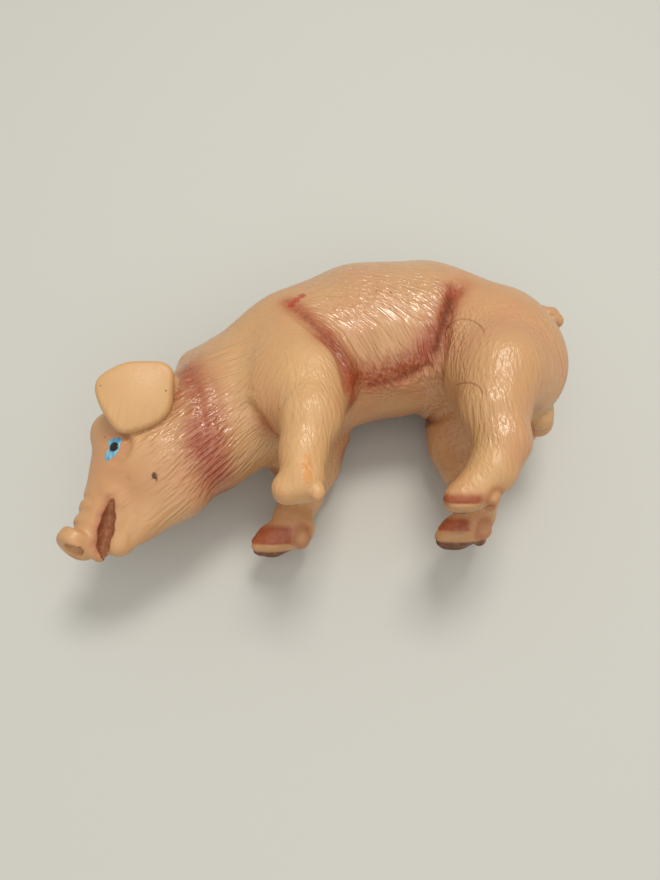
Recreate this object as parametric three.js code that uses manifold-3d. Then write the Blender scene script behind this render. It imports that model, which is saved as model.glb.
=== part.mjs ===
// Moulded PVC piglet figurine, nose down, lying on its right side.
//
// The animal is modelled upright in its own frame: x towards the snout, y towards its left side, z up from the
// soles of its hooves, millimetres. A turned group then lays it on its right side, so that in the finished
// part +Z is up, the animal's left side is uppermost, its back is towards +Y and its snout towards -X.
// The origin is the bottom centre of the whole part's box.

import * as THREE from 'three';
import { mergeVertices } from 'three/addons/utils/BufferGeometryUtils.js';
import { ParametricGeometry } from 'three/addons/geometries/ParametricGeometry.js';
import Module from 'manifold-3d';

// ---------------------------------------------------------------- driving dimensions, mm

const torsoLength = 45;        // rump to the front of the chest, along the spine
const torsoHeight = 23.4;      // back to belly at the deepest place
const torsoWidth = 20.4;       // flank to flank
const bellyHeight = 14.8;      // lowest point of the belly over the soles
const headLength = 27;         // from the neck seam to the rim of the snout
const headDepth = 16.4;        // crown to jaw
const headWidth = 13.6;        // cheek to cheek
const snoutDiameter = 6.8;
const snoutThickness = 2.2;
const nostrilDiameter = 1.5;
const nostrilSpacing = 2.9;    // centre to centre
const nostrilDepth = 1.1;
const mouthLength = 6.2;
const mouthGap = 1.3;          // at the lips
const earLength = 8.8;
const earWidth = 9.2;
const earThickness = 1.7;
const irisLength = 2.9;        // almond, along the lids
const irisWidth = 1.8;
const irisThickness = 0.6;
const pupilDiameter = 0.8;
const pupilThickness = 0.35;
const forelegSpread = 15.4;    // between the centres of the two front feet
const hindlegSpread = 12.6;
const forelegDiameter = 5.2;   // at the shin
const hindlegDiameter = 5.6;
const hoofWidth = 5.0;
const cleftWidth = 0.5;
const dewclawDiameter = 1.9;
const tailDiameter = 2.2;
const scrotumDiameter = 4.0;
const neckSpigotDiameter = 8;  // round pin behind the head
const neckSpigotLength = 4;
const socketWeb = 1.6;         // left in the torso between a left and a right leg socket
const gap = 0.2;               // glue line between a piece and its socket

// How it lies: on the right ear, shoulder and flank, with its back a little lower than its feet.
const restRoll = THREE.MathUtils.degToRad(4.7);
const restPitch = THREE.MathUtils.degToRad(1.0);

// ---------------------------------------------------------------- solids

const wasm = await Module();
wasm.setup();

// A closed geometry as a solid: shared vertices are merged and the collapsed triangles at poles are dropped.
function solid(geometry) {
  const bare = geometry.clone();
  bare.deleteAttribute('normal');
  bare.deleteAttribute('uv');
  const merged = mergeVertices(bare, 1e-4);
  const index = merged.index.array;
  const triangles = [];
  for (let i = 0; i < index.length; i += 3) {
    const [a, b, c] = [index[i], index[i + 1], index[i + 2]];
    if (a !== b && b !== c && c !== a) triangles.push(a, b, c);
  }
  return new wasm.Manifold(new wasm.Mesh({
    numProp: 3,
    vertProperties: new Float32Array(merged.attributes.position.array),
    triVerts: new Uint32Array(triangles),
  }));
}

function unite(solids) {
  return solids.reduce((whole, piece) => whole.add(piece));
}

function cut(host, tools) {
  return tools.reduce((rest, tool) => rest.subtract(tool), host);
}

// The skin of a smooth body along a curve, as a function of u around it and v along it, both 0 to 1.
// Each section is [x, y, z, half width along y, half depth across it]; the ends close in round caps, and grow
// swells the whole body evenly.
function skin(sections, grow = 0) {
  const curve = new THREE.CatmullRomCurve3(sections.map(([x, y, z]) => new THREE.Vector3(x, y, z)));
  const sizes = new THREE.CatmullRomCurve3(sections.map(([, , , wide, deep]) => new THREE.Vector3(wide, deep, 0)));
  const length = curve.getLength();
  const capLength = (section) => 0.6 * Math.min(section[3], section[4]) + grow;
  const startCap = capLength(sections[0]);
  const endCap = capLength(sections[sections.length - 1]);
  return (u, v, target) => {
    const along = -grow + (length + 2 * grow) * (1 - Math.cos(Math.PI * v)) / 2;
    const t = THREE.MathUtils.clamp(along / length, 0, 1);
    const k = curve.getUtoTmapping(t);
    const tangent = curve.getTangent(k);
    const centre = curve.getPoint(k).addScaledVector(tangent, along - t * length);
    const size = sizes.getPoint(k);
    const side = new THREE.Vector3(0, 1, 0).addScaledVector(tangent, -tangent.y).normalize();
    const depth = new THREE.Vector3().crossVectors(tangent, side);
    const inStart = THREE.MathUtils.clamp(1 - (along + grow) / startCap, 0, 1);
    const inEnd = THREE.MathUtils.clamp(1 - (length + grow - along) / endCap, 0, 1);
    const round = Math.sqrt(Math.max(0, (1 - inStart * inStart) * (1 - inEnd * inEnd)));
    const angle = 2 * Math.PI * u;
    return target.copy(centre)
      .addScaledVector(side, Math.cos(angle) * (size.x + grow) * round)
      .addScaledVector(depth, Math.sin(angle) * (size.y + grow) * round);
  };
}

function loft(sections, grow = 0, slices = 16, stacks = 12) {
  return solid(new ParametricGeometry(skin(sections, grow), slices, stacks));
}

// The place and the outward direction of a point on a skin.
function placeOn(surface, u, v) {
  const step = 0.01;
  const at = surface(u, v, new THREE.Vector3());
  const around = surface(u + step, v, new THREE.Vector3()).sub(at);
  const onward = surface(u, v + step, new THREE.Vector3()).sub(at);
  return { at, out: new THREE.Vector3().crossVectors(around, onward).normalize(), onward: onward.normalize() };
}

// An ellipsoid with half sizes [x, y, z], tipped nose down by pitch degrees.
function ellipsoid([x, y, z], [a, b, c], pitch = 0, slices = 12, stacks = 8) {
  const ball = new THREE.SphereGeometry(1, slices, stacks);
  ball.scale(a, b, c);
  ball.rotateY(THREE.MathUtils.degToRad(pitch));
  ball.translate(x, y, z);
  return solid(ball);
}

// A cushion-shaped disc with half sizes along and across it, facing out, with its length towards onward.
function lens({ at, out, onward }, along, across, thickness, slices = 20, stacks = 6) {
  const ball = new THREE.SphereGeometry(1, slices, stacks);
  ball.rotateX(Math.PI / 2);
  ball.scale(along, across, thickness / 2);
  const length = onward.clone().addScaledVector(out, -onward.dot(out)).normalize();
  ball.applyMatrix4(new THREE.Matrix4().makeBasis(length, new THREE.Vector3().crossVectors(out, length), out));
  ball.translate(at.x, at.y, at.z);
  return solid(ball);
}

// A turned body: its profile's radii are round the line that leaves a point in a direction.
function turned(profile, at, direction, slices = 20) {
  const body = new THREE.LatheGeometry(profile.map(([radius, height]) => new THREE.Vector2(radius, height)), slices);
  body.applyQuaternion(new THREE.Quaternion().setFromUnitVectors(new THREE.Vector3(0, 1, 0), direction));
  body.translate(at.x, at.y, at.z);
  return solid(body);
}

function pin(at, direction, diameter, length) {
  return turned([[0, 0], [diameter / 2, 0], [diameter / 2, length], [0, length]], at, direction);
}

// A large block that fills everything past a plane, on the side that its normal points to.
function beyond(point, normal) {
  const reach = 3 * torsoLength;
  const block = new THREE.BoxGeometry(reach, reach, reach);
  block.translate(0, 0, reach / 2);
  block.applyQuaternion(new THREE.Quaternion().setFromUnitVectors(new THREE.Vector3(0, 0, 1), normal));
  block.translate(point.x, point.y, point.z);
  return solid(block);
}

// ---------------------------------------------------------------- places on the animal

const rumpX = -0.68 * torsoLength;
const spine = (u) => rumpX + u * torsoLength;             // u runs from 0 at the rump to 1 at the chest
const level = (v) => bellyHeight + v * torsoHeight;       // v runs from 0 at the belly to 1 at the back

// The neck seam is a plane across the neck, and the head runs on from it, down and forward.
const neckPitch = THREE.MathUtils.degToRad(44);
const neckAxis = new THREE.Vector3(Math.cos(neckPitch), 0, -Math.sin(neckPitch));
const neckDrop = new THREE.Vector3(-Math.sin(neckPitch), 0, -Math.cos(neckPitch));
const neckPoint = new THREE.Vector3(spine(0.955), 0, level(0.13));

// A point by its distance from the neck seam and its drop towards the jaw, as shares of the head's length.
function onHead(u, drop, y = 0) {
  return neckPoint.clone()
    .addScaledVector(neckAxis, u * headLength)
    .addScaledVector(neckDrop, drop * headLength)
    .setY(y);
}

// The same sizes on the left, side +1, and on the right, side -1.
const sides = { left: 1, right: -1 };

// ---------------------------------------------------------------- legs

const dewclawRadius = dewclawDiameter / 2;
const clawWidth = (hoofWidth - cleftWidth) / 2;
const clawY = (cleftWidth + clawWidth) / 2;
const hoofHeight = 3.4;

// Two claws with a cleft between them and two dewclaws behind, pointing forward, standing on z = 0.
function foot(x, y) {
  const claws = [-clawY, clawY].map((dy) => loft([
    [x - 1.6, y + dy * 0.8, hoofHeight * 0.92, clawWidth * 0.62, 1.5],
    [x, y + dy, hoofHeight * 0.50, clawWidth * 0.58, 1.9],
    [x + 2.2, y + dy, hoofHeight * 0.25, clawWidth * 0.54, 1.6],
    [x + 3.0, y + dy, hoofHeight * 0.18, clawWidth * 0.45, 1.3],
  ], 0, 8, 6));
  const dewclaws = [-1, 1].map((s) => ellipsoid(
    [x - 2.4, y + s * hoofWidth * 0.27, hoofHeight * 0.8], [dewclawRadius, dewclawRadius, dewclawRadius * 1.2], 0, 8, 6));
  return unite([...claws, ...dewclaws]);
}

// A leg's sections from its root in the body down to the fetlock, where its foot begins.
function forelegSections(side, stride) {
  const y = side * forelegSpread / 2;
  const shin = forelegDiameter / 2;
  const x = spine(0.77);
  return [
    [x + 1.2, side * (socketWeb / 2 + 3.4), level(0.40), 3.4, 4.4],
    [x + 0.2, side * (socketWeb / 2 + 4.6), level(0.20), 4.6, 5.6],
    [x - 0.8, y * 0.90, level(0.00), 4.1, 4.8],
    [x - 1.4, y * 1.03, bellyHeight * 0.64, 3.2, 3.4],
    [x - 1.2 + stride * 0.4, y * 1.02, bellyHeight * 0.38, shin, shin],
    [x - 0.7 + stride, y, bellyHeight * 0.20, shin * 0.92, shin * 0.96],
  ];
}

function hindlegSections(side, stride) {
  const y = side * hindlegSpread / 2;
  const shin = hindlegDiameter / 2;
  const x = spine(0.24);
  return [
    [x - 0.4, side * (socketWeb / 2 + 3.8), level(0.58), 3.8, 6.2],
    [x - 0.5, side * (socketWeb / 2 + 4.9), level(0.34), 4.9, 8.2],
    [x + 0.2, y * 0.98, level(0.08), 5.0, 6.4],
    [x + 1.2, y * 1.10, bellyHeight * 0.80, 3.8, 4.2],
    [x + 0.9, y * 1.10, bellyHeight * 0.50, shin * 1.08, shin * 1.18],
    [x + 3.0 + stride, y * 1.03, bellyHeight * 0.24, shin * 0.92, shin],
  ];
}

const legs = {
  front_left_leg: { sections: forelegSections(sides.left, 0), toe: 0.6 },
  front_right_leg: { sections: forelegSections(sides.right, 2.4), toe: 1.4 },
  rear_left_leg: { sections: hindlegSections(sides.left, 0), toe: 1.9 },
  rear_right_leg: { sections: hindlegSections(sides.right, 0.4), toe: 1.7 },
};
const ground = new THREE.Vector3(0, 0, 0);
const down = new THREE.Vector3(0, 0, -1);
for (const leg of Object.values(legs)) {
  const [x, y] = leg.sections[leg.sections.length - 1];
  leg.solid = cut(unite([loft(leg.sections), foot(x + leg.toe, y)]), [beyond(ground, down)]);
  leg.socket = loft(leg.sections, gap);
}

// ---------------------------------------------------------------- tail

const tailRadius = tailDiameter / 2;
const tailX = spine(0.045);
const tailZ = level(0.68);
const tailSections = [
  [tailX + 2.6, 0, tailZ - 0.9, tailRadius, tailRadius],
  [tailX + 0.2, 0, tailZ, tailRadius, tailRadius],
  [tailX - 1.6, 0, tailZ + 0.3, tailRadius * 0.9, tailRadius * 0.9],
  [tailX - 2.4, 0, tailZ - 0.7, tailRadius * 0.8, tailRadius * 0.8],
];
const tail = loft(tailSections, 0, 10, 20);

// ---------------------------------------------------------------- head

const headSections = [
  [-0.12, 0.005, 1.32, 1.26],
  [0.10, 0.015, 1.20, 1.18],
  [0.27, 0.025, 1.10, 1.08],
  [0.44, 0.015, 1.00, 0.98],
  [0.64, 0.050, 0.80, 0.80],
  [0.80, 0.090, 0.60, 0.58],
  [0.92, 0.125, 0.46, 0.40],
].map(([u, drop, wide, deep]) => {
  const at = onHead(u, drop);
  return [at.x, 0, at.z, wide * headWidth / 2, deep * headDepth / 2];
});
const headSkin = skin(headSections);

const snoutRadius = snoutDiameter / 2;
const snoutRim = 0.35 * snoutThickness;
const snoutAxis = new THREE.Vector3().subVectors(onHead(0.96, 0.14), onHead(0.80, 0.09)).normalize();
const snoutAt = onHead(0.88, 0.115);
const snout = turned([
  [0, 0],
  [snoutRadius - snoutRim, 0],
  [snoutRadius, snoutRim],
  [snoutRadius, snoutThickness - snoutRim],
  [snoutRadius - snoutRim, snoutThickness],
  [0, snoutThickness],
], snoutAt, snoutAxis);

const nostrils = [-1, 1].map((s) => pin(
  snoutAt.clone().addScaledVector(snoutAxis, snoutThickness - nostrilDepth).setY(s * nostrilSpacing / 2),
  snoutAxis, nostrilDiameter, 2 * nostrilDepth));

// The mouth is a wedge between muzzle and jaw, cut right through from cheek to cheek.
const mouthCorner = onHead(0.69, 0.12);
const mouthPitch = THREE.MathUtils.degToRad(82);
const mouthAxis = new THREE.Vector3(Math.cos(mouthPitch), 0, -Math.sin(mouthPitch));
const mouthAcross = new THREE.Vector3(Math.sin(mouthPitch), 0, Math.cos(mouthPitch));
function mouthWedge() {
  const reach = 2 * mouthLength;
  const half = mouthGap / 2;
  const outline = new THREE.Shape([
    new THREE.Vector2(0, -0.1),
    new THREE.Vector2(reach, -half),
    new THREE.Vector2(reach, half),
    new THREE.Vector2(0, 0.1),
  ]);
  const prism = new THREE.ExtrudeGeometry(outline, { depth: 2 * headWidth, bevelEnabled: false });
  prism.translate(0, 0, -headWidth);
  prism.applyMatrix4(new THREE.Matrix4().makeBasis(
    mouthAxis, mouthAcross, new THREE.Vector3().crossVectors(mouthAxis, mouthAcross)));
  prism.translate(mouthCorner.x, 0, mouthCorner.z);
  return solid(prism);
}

// ---------------------------------------------------------------- ears

function ear(side) {
  const at = onHead(0.43, -0.12, side * (headWidth / 2 + 1.9));
  const out = new THREE.Vector3(-0.16, 0.93 * side, -0.33).normalize();
  const flap = { at, out, onward: new THREE.Vector3(0.45, 0.12 * side, -0.9) };
  const root = onHead(0.24, -0.18, side * headWidth * 0.34);
  const rootSections = [
    [root.x, root.y, root.z, 1.3, 1.9],
    [(root.x + at.x) / 2, side * headWidth * 0.52, (root.z + at.z) / 2, 1.0, 1.9],
    [at.x, at.y, at.z, 0.6, 1.6],
  ];
  return {
    solid: unite([lens(flap, earLength / 2, earWidth / 2, earThickness), loft(rootSections, 0, 10, 8)]),
    sockets: [
      lens(flap, earLength / 2 + gap, earWidth / 2 + gap, earThickness + 2 * gap),
      loft(rootSections, gap, 10, 8),
    ],
  };
}
const leftEar = ear(sides.left);
const rightEar = ear(sides.right);

// ---------------------------------------------------------------- eyes

// The paint of the eye, as a thin almond with the pupil let into it, seated in the side of the head.
const paintGap = gap / 2;
function eye(side) {
  const place = placeOn(headSkin, side > 0 ? 0.045 : 0.455, 0.60);
  const pupilPlace = { ...place, at: place.at.clone().addScaledVector(place.out, irisThickness / 2 - paintGap) };
  const irisBody = lens(place, irisLength / 2, irisWidth / 2, irisThickness, 16, 6);
  const pupil = lens(pupilPlace, pupilDiameter / 2, pupilDiameter / 2, pupilThickness, 10, 4);
  const pupilSocket = lens(
    pupilPlace, pupilDiameter / 2 + paintGap, pupilDiameter / 2 + paintGap, pupilThickness + 2 * paintGap, 10, 4);
  const socket = lens(
    place, irisLength / 2 + paintGap, irisWidth / 2 + paintGap, irisThickness + 2 * paintGap, 16, 6);
  return { iris: cut(irisBody, [pupilSocket]), pupil, socket };
}
const leftEye = eye(sides.left);
const rightEye = eye(sides.right);

// ---------------------------------------------------------------- torso and head, cut to fit

const torsoSections = [
  [0.00, 0.42, 0.30, 0.26],
  [0.09, 0.46, 0.74, 0.66],
  [0.24, 0.52, 0.94, 0.90],
  [0.42, 0.54, 0.96, 0.95],
  [0.60, 0.50, 1.00, 1.00],
  [0.78, 0.36, 0.98, 0.98],
  [0.93, 0.18, 0.88, 0.88],
  [1.06, 0.00, 0.78, 0.78],
].map(([u, v, wide, deep]) => [spine(u), 0, level(v), wide * torsoWidth / 2, deep * torsoHeight / 2]);

const scrotumRadius = scrotumDiameter / 2;
const scrotum = [-1, 1].map((s) => ellipsoid(
  [spine(0.10), s * scrotumRadius * 0.7, level(0.06)], [scrotumRadius, scrotumRadius, scrotumRadius * 1.7]));

const spigotStart = neckPoint.clone().addScaledVector(neckAxis, -neckSpigotLength);
const spigot = pin(spigotStart, neckAxis, neckSpigotDiameter, neckSpigotLength + 3);
const spigotSocket = pin(
  spigotStart.clone().addScaledVector(neckAxis, -gap), neckAxis, neckSpigotDiameter + 2 * gap, neckSpigotLength + 3);
const headBack = neckPoint.clone().addScaledVector(neckAxis, gap);

const torso = cut(unite([loft(torsoSections, 0, 24, 18), ...scrotum]), [
  beyond(neckPoint, neckAxis),
  spigotSocket,
  loft(tailSections, gap, 10, 20),
  ...Object.values(legs).map((leg) => leg.socket),
]);

const head = cut(unite([
  cut(loft(headSections, 0, 24, 16), [beyond(headBack, neckAxis.clone().negate())]),
  spigot,
  snout,
]), [
  ...nostrils,
  mouthWedge(),
  ...leftEar.sockets,
  ...rightEar.sockets,
  leftEye.socket,
  rightEye.socket,
  ...Object.values(legs).map((leg) => leg.socket),
]);

// ---------------------------------------------------------------- the figurine

const vinyl = { color: 0xcda073, roughness: 0.42, metalness: 0 };
const paleVinyl = { color: 0xdcb384, roughness: 0.45, metalness: 0 };
const blueEnamel = { color: 0x3f8fb5, roughness: 0.3, metalness: 0 };
const blackEnamel = { color: 0x0c0c0e, roughness: 0.25, metalness: 0 };

const pieces = [
  ['torso', torso, vinyl],
  ['head', head, vinyl],
  ['left_ear', leftEar.solid, paleVinyl],
  ['right_ear', rightEar.solid, paleVinyl],
  ['tail', tail, vinyl],
  ...Object.entries(legs).map(([name, leg]) => [name, leg.solid, vinyl]),
  ['left_iris', leftEye.iris, blueEnamel],
  ['left_pupil', leftEye.pupil, blackEnamel],
  ['right_iris', rightEye.iris, blueEnamel],
  ['right_pupil', rightEye.pupil, blackEnamel],
];

function mesh(name, body, finish) {
  const { vertProperties, triVerts } = body.getMesh();
  const geometry = new THREE.BufferGeometry();
  geometry.setAttribute('position', new THREE.BufferAttribute(new Float32Array(vertProperties), 3));
  geometry.setIndex(new THREE.BufferAttribute(new Uint32Array(triVerts), 1));
  geometry.computeVertexNormals();
  const part = new THREE.Mesh(geometry, new THREE.MeshStandardMaterial(finish));
  part.name = name;
  return part;
}

const animal = new THREE.Group();
for (const [name, body, finish] of pieces) animal.add(mesh(name, body, finish));
animal.rotation.set(Math.PI / 2 + restRoll, restPitch, Math.PI, 'ZYX');

const figurine = new THREE.Group();
figurine.add(animal);
figurine.updateMatrixWorld(true);
const box = new THREE.Box3().setFromObject(figurine, true);
animal.position.set(-(box.min.x + box.max.x) / 2, -(box.min.y + box.max.y) / 2, -box.min.z);

export default figurine;
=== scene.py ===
"""Moulded PVC piglet figurine, lying on its right side: its visible surfaces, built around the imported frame.

The animal is sculpted upright in its own frame, in millimetres: x towards the snout, y towards its left side
and z up from the soles of its hooves. One continuous skin is modelled as a distance field, meshed, and
divided into the figurine's pieces along its creases, so the pieces meet as the moulding's do. The skin is
then laid down in the part's frame, in metres, where the CAD says that the animal is.
"""

import logging
from dataclasses import dataclass, field
from enum import Enum
from typing import Callable, Sequence

import bpy
import numpy as np
from mathutils import Matrix


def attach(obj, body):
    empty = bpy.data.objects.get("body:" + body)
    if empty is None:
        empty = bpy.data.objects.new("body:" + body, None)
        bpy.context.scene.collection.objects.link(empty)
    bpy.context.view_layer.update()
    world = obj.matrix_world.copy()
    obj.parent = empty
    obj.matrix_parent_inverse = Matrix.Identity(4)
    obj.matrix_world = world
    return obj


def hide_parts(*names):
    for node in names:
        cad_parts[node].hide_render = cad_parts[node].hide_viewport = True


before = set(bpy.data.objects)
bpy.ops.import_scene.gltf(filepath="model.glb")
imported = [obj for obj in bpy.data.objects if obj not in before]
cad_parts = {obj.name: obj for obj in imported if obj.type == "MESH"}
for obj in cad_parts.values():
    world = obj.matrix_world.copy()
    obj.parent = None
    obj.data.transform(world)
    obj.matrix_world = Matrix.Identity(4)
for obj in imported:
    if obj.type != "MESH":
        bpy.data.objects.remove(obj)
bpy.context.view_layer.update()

log = logging.getLogger("piglet")
MM = 0.001
BOX_MARGIN = 2.5    # mm round a shape's box in which its field is worked out
FLANK = (0.0, 0.866, -0.5)    # outwards from the lower flank; the hair lies in the plane across it
UP_FLANK = (0.0, 0.5, 0.866)    # up the lower flank, in that plane

Points = np.ndarray
Values = np.ndarray
Shape = Callable[[Points], Values]


# ------------------------------------------------------------------ distance fields


def smooth_union(a: Values, b: Values, blend: float) -> Values:
    """Joins two fields with a fillet about as wide as blend."""
    mix = np.clip(0.5 + 0.5 * (b - a) / blend, 0.0, 1.0)
    return b + (a - b) * mix - blend * mix * (1.0 - mix)


def smooth_cut(a: Values, tool: Values, blend: float) -> Values:
    """Takes the tool's field out of another, with a rounded edge about as wide as blend."""
    return -smooth_union(-a, tool, blend)


def bell(x: Values, half_width: float) -> Values:
    """1 where x is 0, falling smoothly to nothing over a few half widths."""
    return np.exp(-(x / half_width) ** 2)


def ease(x: Values, start: float, stop: float) -> Values:
    """0 before start and 1 after stop, with a smooth step between them; start may be the larger."""
    t = np.clip((x - start) / (stop - start), 0.0, 1.0)
    return t * t * (3.0 - 2.0 * t)


def turned(yaw: float = 0.0, pitch: float = 0.0, roll: float = 0.0) -> np.ndarray:
    """Axes of a turned local frame, as columns.

    Args:
        yaw: turn to the animal's left about z, in degrees.
        pitch: lift of the local x axis, in degrees.
        roll: turn about the local x axis, in degrees.

    Returns:
        A 3 by 3 matrix whose columns are the local x, y and z.
    """
    a, b, c = np.radians([yaw, pitch, roll])
    about_z = np.array([[np.cos(a), -np.sin(a), 0], [np.sin(a), np.cos(a), 0], [0, 0, 1]])
    about_y = np.array([[np.cos(b), 0, -np.sin(b)], [0, 1, 0], [np.sin(b), 0, np.cos(b)]])
    about_x = np.array([[1, 0, 0], [0, np.cos(c), -np.sin(c)], [0, np.sin(c), np.cos(c)]])
    return about_z @ about_y @ about_x


def ellipsoid(p: Points, centre: Sequence[float], radii: Sequence[float],
              axes: np.ndarray | None = None) -> Values:
    """Field of an ellipsoid, close to a true distance near its surface."""
    q = p - np.asarray(centre)
    if axes is not None:
        q = q @ axes
    r = np.asarray(radii)
    k0 = np.linalg.norm(q / r, axis=1)
    k1 = np.linalg.norm(q / (r * r), axis=1) + 1e-9
    return k0 * (k0 - 1.0) / k1


def round_cone(p: Points, a: np.ndarray, b: np.ndarray, ra: float, rb: float) -> Values:
    """Distance to the hull of two balls."""
    axis = b - a
    length2 = axis @ axis
    dr = ra - rb
    a2 = length2 - dr * dr
    rel = p - a
    y = rel @ axis
    z = y - length2
    x2 = ((rel * length2 - y[:, None] * axis) ** 2).sum(axis=1)
    y2 = y * y * length2
    z2 = z * z * length2
    k = np.sign(dr) * dr * dr * x2
    middle = (np.sqrt(np.maximum(x2 * a2 / length2, 0)) + y * dr) / length2 - ra
    far_end = np.sqrt(x2 + z2) / length2 - rb
    near_end = np.sqrt(x2 + y2) / length2 - ra
    sides = np.where(np.sign(y) * a2 * y2 < k, near_end, middle)
    return np.where(np.sign(z) * a2 * z2 > k, far_end, sides)


def chain(p: Points, joints: Sequence[Sequence[float]], blend: float, slim: float = 1.0) -> Values:
    """A limb through balls (x, y, z, radius), joined by cones.

    Args:
        p: points.
        joints: the balls, in order.
        blend: fillet between one cone and the next.
        slim: breadth along y as a share of the radius.

    Returns:
        The field's values.
    """
    q = p / np.array([1.0, slim, 1.0])
    balls = [np.asarray(j, dtype=float) for j in joints]
    out = None
    for a, b in zip(balls[:-1], balls[1:]):
        cone = round_cone(q, a[:3], b[:3], a[3], b[3])
        out = cone if out is None else smooth_union(out, cone, blend)
    return out


def plate(across: Values, through: Values) -> Values:
    """Field of a plate from how far a point is past its edge and past its faces."""
    inside = np.minimum(np.maximum(across, through), 0.0)
    return inside + np.hypot(np.maximum(across, 0.0), np.maximum(through, 0.0))


def line_distance(p: Points, line: Sequence[Sequence[float]]) -> Values:
    """Distance to a line through points."""
    out = np.full(len(p), 1e3)
    knots = np.asarray(line, dtype=float)
    for a, b in zip(knots[:-1], knots[1:]):
        axis = b - a
        t = np.clip(((p - a) @ axis) / (axis @ axis), 0.0, 1.0)
        out = np.minimum(out, np.linalg.norm(p - a - t[:, None] * axis, axis=1))
    return out


def near_box(p: Points, low: Sequence[float], high: Sequence[float], shape: Shape) -> Values:
    """Works out a shape's field near its box only; farther off, the distance to the box stands in for it."""
    away = np.linalg.norm(np.maximum(np.maximum(np.asarray(low) - p, p - np.asarray(high)), 0.0), axis=1)
    out = away + BOX_MARGIN
    close = away < BOX_MARGIN
    if close.any():
        out[close] = shape(p[close])
    return out


def mirrored(p: Points, side: int) -> Points:
    """The same points as seen by the left side's shapes: side +1 is the left, -1 the right."""
    return p if side > 0 else p * np.array([1.0, -1.0, 1.0])


def both_sides(p: Points) -> Points:
    """Points folded over to the left side."""
    return p * np.array([1.0, 0.0, 1.0]) + np.abs(p) * np.array([0.0, 1.0, 0.0])


@dataclass(frozen=True)
class Crease:
    """A groove, or a raised line, along a line on the left side; the right side has its mirror image."""

    line: tuple
    half_width: float
    depth: float

    def sink(self, p: Points) -> Values:
        """How far it takes the skin in at each point; a raised line gives less than nothing."""
        q = both_sides(p)
        knots = np.asarray(self.line, dtype=float)
        reach = 3.0 * self.half_width
        close = np.all((q > knots.min(axis=0) - reach) & (q < knots.max(axis=0) + reach), axis=1)
        out = np.zeros(len(p))
        if close.any():
            out[close] = self.depth * bell(line_distance(q[close], self.line), self.half_width)
        return out


# ------------------------------------------------------------------ anatomy


@dataclass
class Torso:
    """Barrel, chest and rump, with the haunches and shoulders that swell its sides."""

    spine: tuple = ((-20.3, 0, 25.2, 9.2), (-11.8, 0, 27.7, 9.75), (-4.4, 0, 26.9, 10.05),
                    (3.0, 0, 23.55, 9.5), (10.7, 0, 18.1, 8.45))
    slimness: float = 0.88
    haunch_at: tuple = (-20.2, 3.9, 21.8)
    haunch_radii: tuple = (8.5, 6.2, 9.6)
    shoulder_at: tuple = (3.8, 4.9, 18.6)
    shoulder_radii: tuple = (6.8, 5.2, 9.0)
    creases: tuple = (
        Crease(((5.2, 9.0, 25.2), (2.9, 9.7, 22.3), (1.2, 9.8, 20.3), (-0.6, 9.9, 18.0), (-1.6, 9.6, 15.6),
                (-2.2, 8.6, 13.6)), 0.62, 0.7),
        Crease(((-15.4, 8.7, 28.4), (-14.4, 8.7, 26.2), (-13.6, 8.3, 23.4), (-13.2, 7.4, 20.6),
                (-13.1, 5.6, 18.1), (-13.4, 2.9, 16.8), (-14.4, 0.8, 16.4)), 0.7, 0.8),
        Crease(((-1.6, 6.6, 15.2), (-5.3, 5.2, 16.6), (-8.6, 4.7, 17.7), (-11.6, 5.2, 18.9)), 0.65, 0.34),
        Crease(((-2.6, 5.0, 14.8), (-5.4, 3.9, 15.8), (-9.2, 3.4, 17.0)), 0.9, -0.22),
        Crease(((9.2, 6.6, 12.4), (7.6, 6.0, 10.8), (6.6, 4.4, 9.6)), 0.8, 0.5),
        Crease(((-23.0, 4.8, 13.4), (-25.5, 2.6, 17.0), (-27.4, 1.0, 18.4)), 0.5, 0.4),
    )

    def trunk(self, p: Points) -> Values:
        """Field of the barrel alone."""
        return chain(p, self.spine, 2.5, self.slimness)

    def haunch(self, p: Points) -> Values:
        """Field of both haunches."""
        return ellipsoid(both_sides(p), self.haunch_at, self.haunch_radii, turned(pitch=-14))

    def shoulder(self, p: Points) -> Values:
        """Field of both shoulders."""
        return ellipsoid(both_sides(p), self.shoulder_at, self.shoulder_radii, turned(pitch=14))

    def field(self, p: Points) -> Values:
        """Field of the torso without legs, head and tail."""
        return smooth_union(smooth_union(self.trunk(p), self.haunch(p), 1.2), self.shoulder(p), 1.0)


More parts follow.
